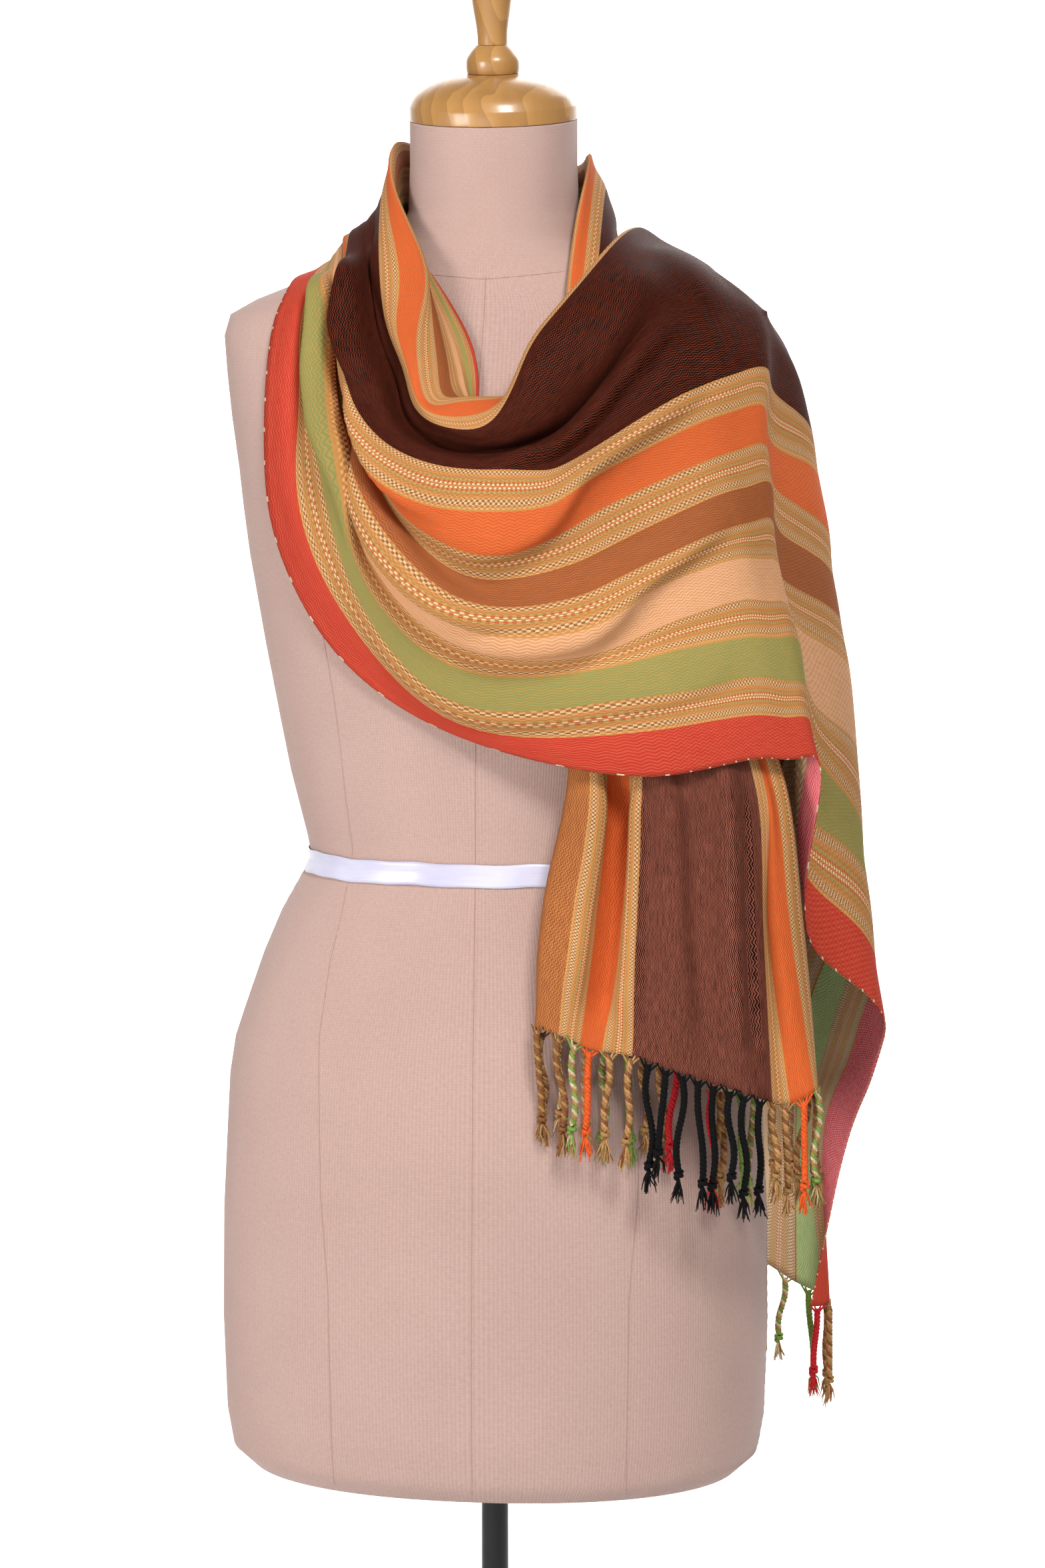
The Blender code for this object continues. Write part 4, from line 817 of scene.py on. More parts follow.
@dataclass(frozen=True)
class SatinRibbon:
    """Polyester satin ribbon. Smooth floats give a bright, faintly lavender gloss with fine cross lines."""

    name: str
    colour: str = "CDCCDE"
    shadow: str = "AEABC6"

    def build(self) -> bpy.types.Material:
        """Make the material."""
        material, tree, shader = new_finish(self.name, {"Sheen Weight": 0.2, "Specular IOR Level": 0.6,
                                                        "Coat Weight": 0.15})
        place = add_node(tree, "UVMap", {}, uv_map="cloth")
        drawn = add_node(tree, "Mapping", {0: place, "Scale": (60.0, 1500.0, 1.0)})
        lines = add_node(tree, "TexNoise", {"Vector": drawn, "Scale": 1.0, "Detail": 2.0})
        waves = add_node(tree, "TexNoise", {"Vector": place, "Scale": 22.0, "Detail": 2.0})
        both = reckon(tree, "MULTIPLY_ADD", lines, 0.3, waves)
        spread = add_node(tree, "MapRange", {"Value": both, "From Min": 0.4, "From Max": 0.85})
        colour = blend(tree, spread, linear(self.shadow), linear(self.colour))
        gloss = add_node(tree, "MapRange", {"Value": waves, "To Min": 0.28, "To Max": 0.46})
        bump = add_node(tree, "Bump", {"Strength": 0.25, "Distance": 0.0006, "Height": both})
        join_finish(tree, shader, colour, gloss, bump)
        return material


@dataclass(frozen=True)
class TurnedPine:
    """Turned and varnished pine. The eye gets honey growth rings cut at a slant, under a clear gloss coat."""

    name: str
    early: str = "B4864C"
    late: str = "906636"
    ring: float = 0.007

    def build(self) -> bpy.types.Material:
        """Make the material."""
        material, tree, shader = new_finish(self.name, {"Coat Weight": 0.35, "Coat Roughness": 0.15,
                                                        "Specular IOR Level": 0.5})
        place = add_node(tree, "TexCoord", {}, output=3)
        stretched = add_node(tree, "Mapping", {0: place, "Rotation": (0.5, 0.9, 0.3),
                                               "Scale": (1.0, 1.0, 0.18)})
        wander = add_node(tree, "TexNoise", {"Vector": stretched, "Scale": 26.0, "Detail": 3.0})
        rings = add_node(tree, "TexWave", {"Vector": stretched, "Scale": 0.32 / self.ring, "Distortion": 5.0,
                                           "Detail": 2.0, "Detail Scale": 1.2}, output=1, wave_type="RINGS",
                         rings_direction="Z", wave_profile="SAW")
        fine = add_node(tree, "TexNoise", {"Vector": stretched, "Scale": 420.0, "Detail": 3.0})
        both = reckon(tree, "MULTIPLY_ADD", wander, 0.5, rings)
        both = reckon(tree, "MULTIPLY_ADD", fine, 0.35, both)
        spread = add_node(tree, "MapRange", {"Value": both, "From Min": 0.2, "From Max": 1.9})
        colour = blend(tree, spread, linear(self.early), linear(self.late))
        gloss = add_node(tree, "MapRange", {"Value": fine, "To Min": 0.3, "To Max": 0.42})
        bump = add_node(tree, "Bump", {"Strength": 0.08, "Distance": 0.0004, "Height": both})
        join_finish(tree, shader, colour, gloss, bump)
        return material


@dataclass(frozen=True)
class StoveEnamel:
    """Black stove enamel on steel. A soft gloss, a faint orange peel, and dust that dulls it in places."""

    name: str
    colour: str = "0B0B0D"
    dust: str = "17171A"

    def build(self) -> bpy.types.Material:
        """Make the material."""
        material, tree, shader = new_finish(self.name, {"Coat Weight": 0.15, "Coat Roughness": 0.25,
                                                        "Specular IOR Level": 0.3})
        place = add_node(tree, "TexCoord", {}, output=3)
        peel = add_node(tree, "TexNoise", {"Vector": place, "Scale": 300.0, "Detail": 2.0})
        cloud = add_node(tree, "TexNoise", {"Vector": place, "Scale": 14.0, "Detail": 4.0})
        spread = add_node(tree, "MapRange", {"Value": cloud, "From Min": 0.45, "From Max": 0.75})
        colour = blend(tree, spread, linear(self.colour), linear(self.dust))
        gloss = add_node(tree, "MapRange", {"Value": cloud, "To Min": 0.34, "To Max": 0.55})
        bump = add_node(tree, "Bump", {"Strength": 0.12, "Distance": 0.0003, "Height": peel})
        join_finish(tree, shader, colour, gloss, bump)
        return material


@dataclass(frozen=True)
class BackdropPaper:
    """Matt white studio paper with a barely visible tooth. It can be looked through from behind."""

    name: str
    colour: str = "F6F6F6"
    tooth: str = "EFEFEF"

    def build(self) -> bpy.types.Material:
        """Make the material."""
        material, tree, shader = new_finish(self.name, {"Roughness": 0.95, "Specular IOR Level": 0.1})
        place = add_node(tree, "TexCoord", {}, output=3)
        grain = add_node(tree, "TexNoise", {"Vector": place, "Scale": 60.0, "Detail": 3.0})
        colour = blend(tree, grain, linear(self.tooth), linear(self.colour))
        tree.links.new(colour, shader.inputs["Base Color"])
        behind = add_node(tree, "NewGeometry", {}, output=6)
        clear = add_node(tree, "BsdfTransparent", {})
        both = add_node(tree, "MixShader", {0: behind, 1: shader.outputs[0], 2: clear})
        tree.links.new(both, tree.nodes["Material Output"].inputs["Surface"])
        return material


def smooth_step(value: Array, start: float, end: float) -> Array:
    """Rise from 0 at start to 1 at end with soft ends."""
    part = np.clip((value - start) / (end - start), 0.0, 1.0)
    return part * part * (3.0 - 2.0 * part)


def section_at(height: Array) -> list[Array]:
    """Half width, front depth and back depth of the form at a height."""
    table = np.array(FORM_SECTIONS)
    return [np.interp(height, table[:, 0], table[:, column]) for column in (1, 2, 3)]


def neck_lean(height: Array) -> Array:
    """Slope of the form's level rings, which lean forward towards the neck's top."""
    return math.tan(NECK_TILT) * smooth_step(height, TILT_START, TILT_END)


def bust_rise(across: Array, height: Array) -> Array:
    """How far the bust stands proud of the plain section."""
    rise = 0.0
    for side in (-BUST_SIDE, BUST_SIDE):
        spread = (across - side) ** 2 + (height - BUST_HEIGHT) ** 2
        rise = rise + BUST_RISE * np.exp(-spread / (2.0 * BUST_SPREAD ** 2))
    return rise


def form_skin(angle: Array, height: Array, proud: float = 0.0) -> Array:
    """Points of the form's skin.

    Args:
        angle: Angle from the form's left side.
        height: Height of the level ring.
        proud: Distance out from the skin.

    Returns:
        The points, in millimetres.
    """
    half_width, front, back = section_at(height)
    across, along = np.cos(angle), np.sin(angle)
    depth = np.where(along > 0.0, back, front)
    x = (half_width + proud) * np.sign(across) * np.abs(across) ** (2.0 / FORM_POWER)
    y = (depth + proud) * np.sign(along) * np.abs(along) ** (2.0 / FORM_POWER)
    y = np.where(along < 0.0, y - bust_rise(x, height), y)
    return np.stack([x, y, height + y * neck_lean(height)], axis=-1)


def front_angle(across: Array, height: Array) -> Array:
    """Angle at which the form's front has a given distance from its middle."""
    half_width = section_at(height)[0]
    share = np.clip(np.abs(across) / half_width, 0.0, 1.0) ** (FORM_POWER / 2.0)
    return -np.arccos(np.sign(across) * share)


def form_reach(points: Array) -> Array:
    """Level distance from the form's skin to each point, negative inside."""
    x, y, z = points[..., 0], points[..., 1], points[..., 2]
    level = z - y * neck_lean(z)
    half_width, front, back = section_at(level)
    depth = np.where(y > 0.0, back, front)
    inward = np.where(y > 0.0, y, np.minimum(y + bust_rise(x, level), 0.0))
    sums = np.abs(x / half_width) ** FORM_POWER + np.abs(inward / depth) ** FORM_POWER
    scale = np.maximum(sums ** (1.0 / FORM_POWER), 0.05)
    return np.hypot(x, inward) * (1.0 - 1.0 / scale)


def clear_of_form(points: Array, clearance: Array) -> Array:
    """Move points that are too near the form out along its slope."""
    points = points.copy()
    probe = 0.5
    for _ in range(CLEARING_ROUNDS):
        reach = form_reach(points)
        slope = np.stack([(form_reach(points + step) - form_reach(points - step)) / (2.0 * probe)
                          for step in np.eye(3) * probe], axis=-1)
        steepness = np.maximum(np.linalg.norm(slope, axis=-1), 1.0)
        short = np.clip(clearance - reach / steepness, 0.0, 12.0)
        points += slope / steepness[..., None] * short[..., None]
    return points


def spline(table: Array, places: Array) -> Array:
    """Smooth curve through the rows of a table, read at fractional row numbers."""
    last = len(table) - 1
    places = np.clip(places, 0.0, last)
    start = np.minimum(places.astype(int), last - 1)
    part = (places - start).reshape((-1,) + (1,) * (table.ndim - 1))
    before = table[np.maximum(start - 1, 0)]
    here = table[start]
    there = table[start + 1]
    after = table[np.minimum(start + 2, last)]
    return 0.5 * (2.0 * here + (there - before) * part
                  + (2.0 * before - 5.0 * here + 4.0 * there - after) * part ** 2
                  + (3.0 * here - before - 3.0 * there + after) * part ** 3)


@dataclass
class Line:
    """One line across the cloth: its points and how far each stays off the form."""

    points: Array
    plain: Array
    over: Array
    step: float


def stations(folds: tuple) -> range:
    """Numbers of a table's stations along the cloth."""
    return range(len(folds[0][2]))


def fold_line(folds: tuple, station: int, across: Array) -> Array:
    """Points of a table's station at places across the cloth."""
    places = np.array([row[1] for row in folds])
    net = np.array([row[2] for row in folds], dtype=float)
    return spline(net[:, station], np.interp(across, places, np.arange(len(places))))


def layer_at(layers: tuple, across: Array) -> tuple[Array, Array]:
    """Distances off the form from a table of layers, at places across the cloth."""
    table = np.array(layers)
    return np.interp(across, table[:, 0], table[:, 1]), np.interp(across, table[:, 0], table[:, 2])


def plain_line(folds: tuple, layers: tuple, station: int, across: Array, step: float) -> Line:
    """A station line of one table."""
    return Line(fold_line(folds, station, across), *layer_at(layers, across), step)


def chest_line(station: int, across: Array) -> Line:
    """A station line of the swag and the cowl together, edge to edge."""
    edge = SWAG_FOLDS[-1][1]
    outer = fold_line(SWAG_FOLDS, station, np.minimum(across, edge))
    inner = fold_line(COWL_FOLDS, station, np.maximum(across, edge))
    inside = across > edge
    gap = inner[inside][0] - outer[~inside][-1]
    near = 0.5 * np.exp(-np.abs(across - edge) / DEEP_FOLD_EASE)[:, None]
    outer = outer + gap * near
    inner = inner - gap * near
    swag = layer_at(SWAG_LAYERS, across)
    cowl = layer_at(COWL_LAYERS, across)
    return Line(np.where(inside[:, None], inner, outer), np.where(inside, cowl[0], swag[0]),
                np.where(inside, cowl[1], swag[1]), FRONT_STEP)


@dataclass
class Drape:
    """A hung cloth: points line by line, with its own two directions in millimetres."""

    points: Array
    across: Array
    along: Array

    def area(self) -> float:
        """Area of the middle surface in square metres."""
        run, reach = np.diff(self.points, axis=0)[:, :-1], np.diff(self.points, axis=1)[:-1]
        return float(np.linalg.norm(np.cross(run, reach), axis=2).sum()) * MM * MM

    def hem(self, wanted: Array) -> tuple[Array, Array]:
        """Points of the last line and the way that the cloth falls there."""
        last, above = (np.stack([np.interp(wanted, self.across, row[:, axis]) for axis in range(3)], axis=-1)
                       for row in (self.points[-1], self.points[-2]))
        fall = last - above
        return last, fall / np.linalg.norm(fall, axis=1)[:, None]


def run_through(lines: list[Line], joins: tuple[int, ...]) -> tuple[Array, Array, Array]:
    """Run smooth curves along the cloth through its lines.

    Args:
        lines: The lines across the cloth, in order along it.
        joins: Numbers of the lines where two tables meet, and the curve keeps even speed.

    Returns:
        The net of points, and the plain and the over clearance at each of them.
    """
    points = np.array([line.points for line in lines])
    chords = np.linalg.norm(np.diff(points, axis=0), axis=2)
    slopes = np.gradient(points, axis=0)
    leaving = slopes.copy()
    arriving = slopes.copy()
    for join in joins:
        before = chords[join - 1][:, None]
        after = chords[join][:, None]
        pace = ((points[join] - points[join - 1]) / before * after
                + (points[join + 1] - points[join]) / after * before) / (before + after)
        arriving[join] = pace * before
        leaving[join] = pace * after
    rows, plain, over = [], [], []
    for index, line in enumerate(lines[:-1]):
        following = lines[index + 1]
        count = max(2, round(float(np.median(chords[index])) / line.step))
        last = index == len(lines) - 2
        for step in range(count + (1 if last else 0)):
            part = step / count
            square, cube = part * part, part ** 3
            rows.append((2 * cube - 3 * square + 1) * points[index]
                        + (cube - 2 * square + part) * leaving[index]
                        + (3 * square - 2 * cube) * points[index + 1]
                        + (cube - square) * arriving[index + 1])
            plain.append(line.plain + (following.plain - line.plain) * part)
            over.append(line.over + (following.over - line.over) * part)
    return np.array(rows), np.array(plain), np.array(over)


def hang(lines: list[Line], joins: tuple[int, ...], across: Array, seed: int, soft: float,
         rolls: tuple, face: float) -> Drape:
    """Hang a cloth through its lines.

    Args:
        lines: The lines across the cloth, in order along it.
        joins: Numbers of the lines where two tables meet, and the curve keeps even speed.
        across: Places across the cloth.
        seed: Starts the soft creases.
        soft: Height of the soft creases.
        rolls: Table of the rolls that stand out of the cloth.
        face: 1 if the net's normals leave the cloth's face, or -1.

    Returns:
        The hung cloth.
    """
    net, plain, over = run_through(lines, joins)
    steps = np.median(np.linalg.norm(np.diff(net, axis=0), axis=2), axis=1)
    along = np.concatenate([[0.0], np.cumsum(steps)])
    off = plain + (over - plain) * smooth_step(net[..., 0], UNDER_START, UNDER_END)
    shoulder = smooth_step(net[..., 0], *SHOULDER_OUT) * smooth_step(net[..., 2], *SHOULDER_UP)
    off = off + (np.minimum(off, SHOULDER_OFF) - off) * shoulder
    net = clear_of_form(relaxed(net, rounds=RELAX_ROUNDS), off)
    net = relaxed(net, rounds=3)
    relief = crease(along, across, seed, soft) + rolled(along, across, rolls) * face
    net = relaxed(net + relief[..., None] * surface_normals(net), rounds=1)
    opened = smooth_step(along, TUCK_END, TUCK_END + TUCK_RUN)[:, None]
    tuck = np.exp(-((across - DEEP_FOLD) / DEEP_FOLD_EASE) ** 2) * opened
    for _ in range(TUCK_ROUNDS):
        net[:, 1:-1] += EASE_ALONG * tuck[:, 1:-1, None] * (net[:, :-2] + net[:, 2:] - 2.0 * net[:, 1:-1])
    net = clear_of_form(net, np.minimum(off - LAST_SINK, LAST_CLEARANCE))
    return Drape(net, across, along)


def relaxed(net: Array, rounds: int) -> Array:
    """Ease a net along the cloth, and a little across it, so that it turns as softly as cloth does."""
    net = net.copy()
    for _ in range(rounds):
        net[1:-1] += EASE_ALONG * (net[:-2] + net[2:] - 2.0 * net[1:-1])
        net[:, 1:-1] += EASE_ACROSS * (net[:, :-2] + net[:, 2:] - 2.0 * net[:, 1:-1])
    return net


def surface_normals(net: Array) -> Array:
    """Unit normals of a net of points."""
    normals = np.cross(np.gradient(net, axis=0), np.gradient(net, axis=1))
    return normals / np.maximum(np.linalg.norm(normals, axis=2, keepdims=True), 1e-6)


def rolled(along: Array, across: Array, rolls: tuple) -> Array:
    """Height of the rolls over the flat cloth, each with soft sides and ends."""
    place = np.stack(np.meshgrid(along, across, indexing="ij"), axis=-1)
    ridges = np.zeros(place.shape[:2])
    valleys = np.zeros(place.shape[:2])
    for _, half_width, height, path in rolls:
        spots = np.array(path, dtype=float)
        length = np.concatenate([[0.0], np.cumsum(np.linalg.norm(np.diff(spots, axis=0), axis=1))])
        nearest = np.full(ridges.shape, np.inf)
        run = np.zeros(ridges.shape)
        for start, end, before, after in zip(spots, spots[1:], length, length[1:]):
            step = end - start
            share = np.clip((place - start) @ step / (step @ step), 0.0, 1.0)
            away = place - start - share[..., None] * step
            aside = step[0] * away[..., 1] - step[1] * away[..., 0]
            gentle = aside * math.copysign(half_width, step[0]) > 0.0
            width = abs(half_width) * np.where(gentle, GENTLE_SHARE, STEEP_SHARE)
            gap = np.linalg.norm(away, axis=-1) / width
            run = np.where(gap < nearest, before + share * (after - before), run)
            nearest = np.minimum(gap, nearest)
        fade = smooth_step(run, 0.0, ROLL_FADE)
        if path[-1][0] < along[-1] - HEM_REACH:
            fade = fade * smooth_step(length[-1] - run, 0.0, ROLL_FADE)
        swell = height * fade * np.exp(-nearest ** 2)
        ridges = np.maximum(ridges, swell)
        valleys = np.minimum(valleys, swell)
    return ridges + valleys


def crease(along: Array, across: Array, seed: int, height: float) -> Array:
    """Soft creases that run mostly along the cloth."""
    draw = np.random.default_rng(seed)
    total = np.zeros((len(along), len(across)))
    for _ in range(CREASE_WAVES):
        wave = 2.0 * math.pi / draw.uniform(*CREASE_ACROSS)
        run = 2.0 * math.pi / draw.uniform(*CREASE_ALONG) * draw.choice([-1.0, 1.0])
        total += draw.uniform(0.4, 1.0) * np.sin(along[:, None] * run + across[None, :] * wave
                                                 + draw.uniform(0.0, 2.0 * math.pi))
    return total * height / CREASE_SPREAD


def finish_mesh(name: str, shape: bmesh.types.BMesh, materials: list[bpy.types.Material]) -> bpy.types.Object:
    """Turn a shape in millimetres into an object at the origin, in metres."""
    bmesh.ops.scale(shape, vec=(MM, MM, MM), verts=shape.verts)
    mesh = bpy.data.meshes.new(name)
    shape.to_mesh(mesh)
    shape.free()
    for material in materials:
        mesh.materials.append(material)
    mesh.shade_smooth()
    item = bpy.data.objects.new(name, mesh)
    bpy.context.scene.collection.objects.link(item)
    return item


def grid_sheet(name: str, net: Array, flat: Array, materials: list[bpy.types.Material],
               closed: bool = False, turned: bool = False) -> bpy.types.Object:
    """A smooth sheet through a net of points.

    Args:
        name: The object's name.
        net: Points, line by line, in millimetres.
        flat: The same points on the flat cloth, in millimetres, for the weave.
        materials: The faces' materials.
        closed: Whether the last point of a line meets the first.
        turned: Whether the sheet's face looks the other way.

    Returns:
        The object.
    """
    lines, places = net.shape[:2]
    shape = bmesh.new()
    bmesh.ops.create_grid(shape, x_segments=places - 1, y_segments=lines - 1, size=1.0)
    shape.verts.ensure_lookup_table()
    order = np.array([(round((vertex.co.y * 0.5 + 0.5) * (lines - 1)),
                       round((vertex.co.x * 0.5 + 0.5) * (places - 1))) for vertex in shape.verts])
    layer = shape.loops.layers.uv.new("cloth")
    spots = net[order[:, 0], order[:, 1]]
    weave = flat[order[:, 0], order[:, 1]] * MM
    for vertex, spot in zip(shape.verts, spots):
        vertex.co = spot
    for face in shape.faces:
        for loop in face.loops:
            loop[layer].uv = weave[loop.vert.index]
    if closed:
        bmesh.ops.remove_doubles(shape, verts=shape.verts, dist=0.01)
        bmesh.ops.recalc_face_normals(shape, faces=shape.faces)
    if turned:
        bmesh.ops.reverse_faces(shape, faces=shape.faces)
    return finish_mesh(name, shape, materials)


def strands(name: str, paths: list[tuple[Array, Array, int]], materials: list[bpy.types.Material],
            rounding: int = 1) -> bpy.types.Object:
    """Round strands along paths, made a mesh.

    Args:
        name: The object's name.
        paths: For each strand its points and radii in millimetres, and its material's number.
        materials: The strands' materials.
        rounding: Bevel resolution of the round section.

    Returns:
        The object.
    """
    curve = bpy.data.curves.new(name, "CURVE")
    curve.dimensions = "3D"
    curve.bevel_depth = 1.0 * MM
    curve.bevel_resolution = rounding
    curve.use_fill_caps = True
    for material in materials:
        curve.materials.append(material)
    for points, radii, number in paths:
        run = curve.splines.new("POLY")
        run.points.add(len(points) - 1)
        run.points.foreach_set("co", np.column_stack([points * MM, np.ones(len(points))]).ravel())
        run.points.foreach_set("radius", radii)
        run.material_index = number
        run.use_smooth = True
    holder = bpy.data.objects.new(name + "_path", curve)
    bpy.context.scene.collection.objects.link(holder)
    bpy.context.view_layer.update()
    mesh = bpy.data.meshes.new_from_object(holder.evaluated_get(bpy.context.evaluated_depsgraph_get()))
    bpy.data.objects.remove(holder)
    mesh.name = name
    mesh.shade_smooth()
    item = bpy.data.objects.new(name, mesh)
    bpy.context.scene.collection.objects.link(item)
    return item


def rope(root: Array, fall: Array, kinds: tuple[int, ...], off: float,
         draw: np.random.Generator) -> tuple[Array, list[YarnRun]]:
    """The middle line of a tassel, and the three strands that wind round it."""
    length = draw.uniform(*ROPE_LENGTH) + (BLACK_EXTRA if kinds[0] == 0 else 0.0)
    sway = draw.uniform(-ROPE_SWAY, ROPE_SWAY, 2)
    bend = draw.uniform(-ROPE_BEND, ROPE_BEND, 2)
    drops = np.linspace(0.0, 1.0, ROPE_POINTS)
    curve = np.sin(math.pi * drops * 2.0)
    middle = root + fall * ROPE_DROP + np.stack([sway[0] * drops + bend[0] * curve,
                                                 sway[1] * drops + bend[1] * curve,
                                                 -length * drops], axis=-1)
    keep = np.interp(drops, [0.0, 0.12, 1.0], [-50.0, off - 3.0, off - 3.0])
    middle = clear_of_form(middle, keep)
    turns = length / TWIST_LENGTH
    paths = []
    wind = WIND_RADIUS * np.interp(drops, [0.0, 0.06, 1.0], [0.5, 1.0, 1.0])
    width = YARN_RADIUS * np.interp(drops, [0.0, 0.06, 0.96, 1.0], [0.75, 1.0, 1.0, 0.8])
    for number, kind in enumerate(kinds):
        turn = 2.0 * math.pi * (turns * drops + number / 3.0)
        ring = np.stack([np.cos(turn) * wind, np.sin(turn) * wind, np.zeros_like(turn)], axis=-1)
        paths.append((middle + ring, width, kind))
    return middle, paths


def gathered(root: Array, fall: Array, side: Array, middle: Array, kinds: tuple[int, ...]) -> list[YarnRun]:
    """Yarns that leave the hem and meet in the rope."""
    paths = []
    for number, reach in enumerate(ROOT_REACH):
        start = root + side * reach - fall * ROOT_DEPTH
        line = np.array([start, start * 0.5 + middle[2] * 0.5 + side * reach * 0.12, middle[4]])
        paths.append((line, np.array([0.5, 0.75, 0.7]), kinds[number % 3]))
    return paths


def knot_run(end: Array, kind: int) -> YarnRun:
    """The knot below the rope."""
    turn = np.linspace(0.0, KNOT_TURN, 15)
    knot = end + np.stack([np.cos(turn) * KNOT_RADIUS, np.sin(turn) * KNOT_RADIUS,
                           -turn * KNOT_DROP], axis=-1)
    return knot, np.full(len(turn), KNOT_YARN), kind


def brush(end: Array, kinds: tuple[int, ...], draw: np.random.Generator) -> list[YarnRun]:
    """The loose ends below the knot."""
    paths = []
    foot = end + np.array([0.0, 0.0, -BRUSH_DROP])
    for number in range(BRUSH_HAIRS):
        angle = draw.uniform(0.0, 2.0 * math.pi)
        spread = draw.uniform(*BRUSH_SPREAD)
        drop = draw.uniform(*BRUSH_LENGTH)
        tip = foot + np.array([math.cos(angle) * spread, math.sin(angle) * spread, -drop])
        curl = draw.uniform(-BRUSH_CURL, BRUSH_CURL, 3)
        line = np.array([foot, foot * 0.55 + tip * 0.45 + curl, tip])
        line[1:] = clear_of_form(line[1:], np.full(2, BRUSH_CLEARANCE))
        paths.append((line, np.array([0.75, 0.6, 0.3]), kinds[number % 3]))
    return paths


def tassel(root: Array, fall: Array, side: Array, kinds: tuple[int, ...], off: float,
           draw: np.random.Generator) -> list[YarnRun]:
    """One hand-twisted tassel: gathered yarns, a three-strand rope, a knot and a brush."""
    middle, paths = rope(root, fall, kinds, off, draw)
    paths += gathered(root, fall, side, middle, kinds)
    paths.append(knot_run(middle[-1], kinds[0]))
    return paths + brush(middle[-1], kinds, draw)


@dataclass
class Shawl:
    """The long cloth in its two visible stretches, and the tassels at its two hems."""

    face: bpy.types.Material
    # The tail's face is the wrap's twill painted lighter, for the fuller light on the tail
    tail_face_painted_light: bpy.types.Material
    back: bpy.types.Material
    yarns: dict[Yarn, bpy.types.Material]
    across: Array = field(default_factory=lambda: np.concatenate([
        np.linspace(0.0, ACROSS_FRONT, round(ACROSS_FRONT / ACROSS_STEP) + 1)[:-1],
        np.linspace(ACROSS_FRONT, SHAWL_WIDTH, round((SHAWL_WIDTH - ACROSS_FRONT) / ACROSS_COARSE))]))

    def wrap_drape(self) -> Drape:
        """From under the swag round the neck, across the chest and down the back."""
        loop = [plain_line(LOOP_FOLDS, LOOP_LAYERS, station, self.across, LOOP_STEP)
                for station in reversed(stations(LOOP_FOLDS))]
        chest = [chest_line(station, self.across) for station in stations(SWAG_FOLDS)]
        fall = [plain_line(FALL_FOLDS, FALL_LAYERS, station, self.across, BACK_STEP)
                for station in stations(FALL_FOLDS)]
        joins = (len(loop), len(loop) + len(chest) - 1)
        return hang(loop + chest + fall, joins, self.across, WRAP_SEED, WRAP_CREASE, WRAP_ROLLS, 1.0)

    def tail_drape(self) -> Drape:
        """The front tail, from under the swag to its hem."""
        lines = [plain_line(TAIL_FOLDS, TAIL_LAYERS, station, self.across, FRONT_STEP)
                 for station in stations(TAIL_FOLDS)]
        return hang(lines, (), self.across, TAIL_SEED, TAIL_CREASE, TAIL_ROLLS, -1.0)

    def cloth(self, name: str, drape: Drape, face: bpy.types.Material,
              turned: bool = False) -> bpy.types.Object:
        """Give a drape its thickness and its two faces."""
        along, across = np.meshgrid(drape.along, drape.across, indexing="ij")
        sheet = grid_sheet(name, drape.points, np.stack([along, across], axis=-1), [face, self.back],
                           turned=turned)
        solid = sheet.modifiers.new("thickness", "SOLIDIFY")
        solid.thickness = CLOTH_THICKNESS * MM
        solid.offset = 0.0
        solid.material_offset = 1
        solid.material_offset_rim = 0
        return sheet

    def stripe(self, place: float) -> str:
        """Name of the stripe at a place across the cloth."""
        off = abs(place - HALF_WIDTH) - DARK_HALF
        return "dark" if off < 0.0 else STRIPE_ORDER[min(int(off / STRIPE), len(STRIPE_ORDER) - 1)]

    def fringe(self, name: str, drape: Drape, groups: tuple, seed: int) -> bpy.types.Object:
        """All the tassels of one hem."""
        draw = np.random.default_rng(seed)
        order = list(self.yarns)
        paths = []
        for first, count, off in groups:
            wanted = (np.arange(first, first + count) + 0.5) * SHAWL_WIDTH / TASSELS_PER_END
            roots, falls = drape.hem(wanted)
            ahead = drape.hem(wanted + 3.0)[0] - drape.hem(wanted - 3.0)[0]
            sides = ahead / np.linalg.norm(ahead, axis=1)[:, None]
            for place, root, fall, side in zip(wanted, roots, falls, sides):
                kinds = tuple(order.index(yarn) for yarn in STRIPE_YARNS[self.stripe(place)])
                paths += tassel(root, fall, side, kinds, off, draw)
        return strands(name, paths, [self.yarns[yarn] for yarn in order])

    def build(self) -> list[bpy.types.Object]:
        """Make the cloth and its tassels, and hide the CAD parts that they take the place of."""
        wrap_drape = self.wrap_drape()
        tail_drape = self.tail_drape()
        wrap = self.cloth("shawl_wrap", wrap_drape, self.face, turned=True)
        tail = self.cloth("shawl_tail", tail_drape, self.tail_face_painted_light)
        back_tassels = self.fringe("tassels_back", wrap_drape, BACK_GROUPS, BACK_TASSEL_SEED)
        front_tassels = self.fringe("tassels_front", tail_drape, FRONT_GROUPS, FRONT_TASSEL_SEED)
        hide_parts("shawl_swag", "shawl_cowl", "shawl_neck_loop", "shawl_back_fall")
        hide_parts("shawl_front_tail")
        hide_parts("fringe_back")
        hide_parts("fringe_right_fold", "fringe_front", "fringe_left_fold")
        for drape in (wrap_drape, tail_drape):
            log.info("cloth %.0f mm long, %.3f square metres", drape.along[-1], drape.area())
        return [wrap, tail, back_tassels, front_tassels]


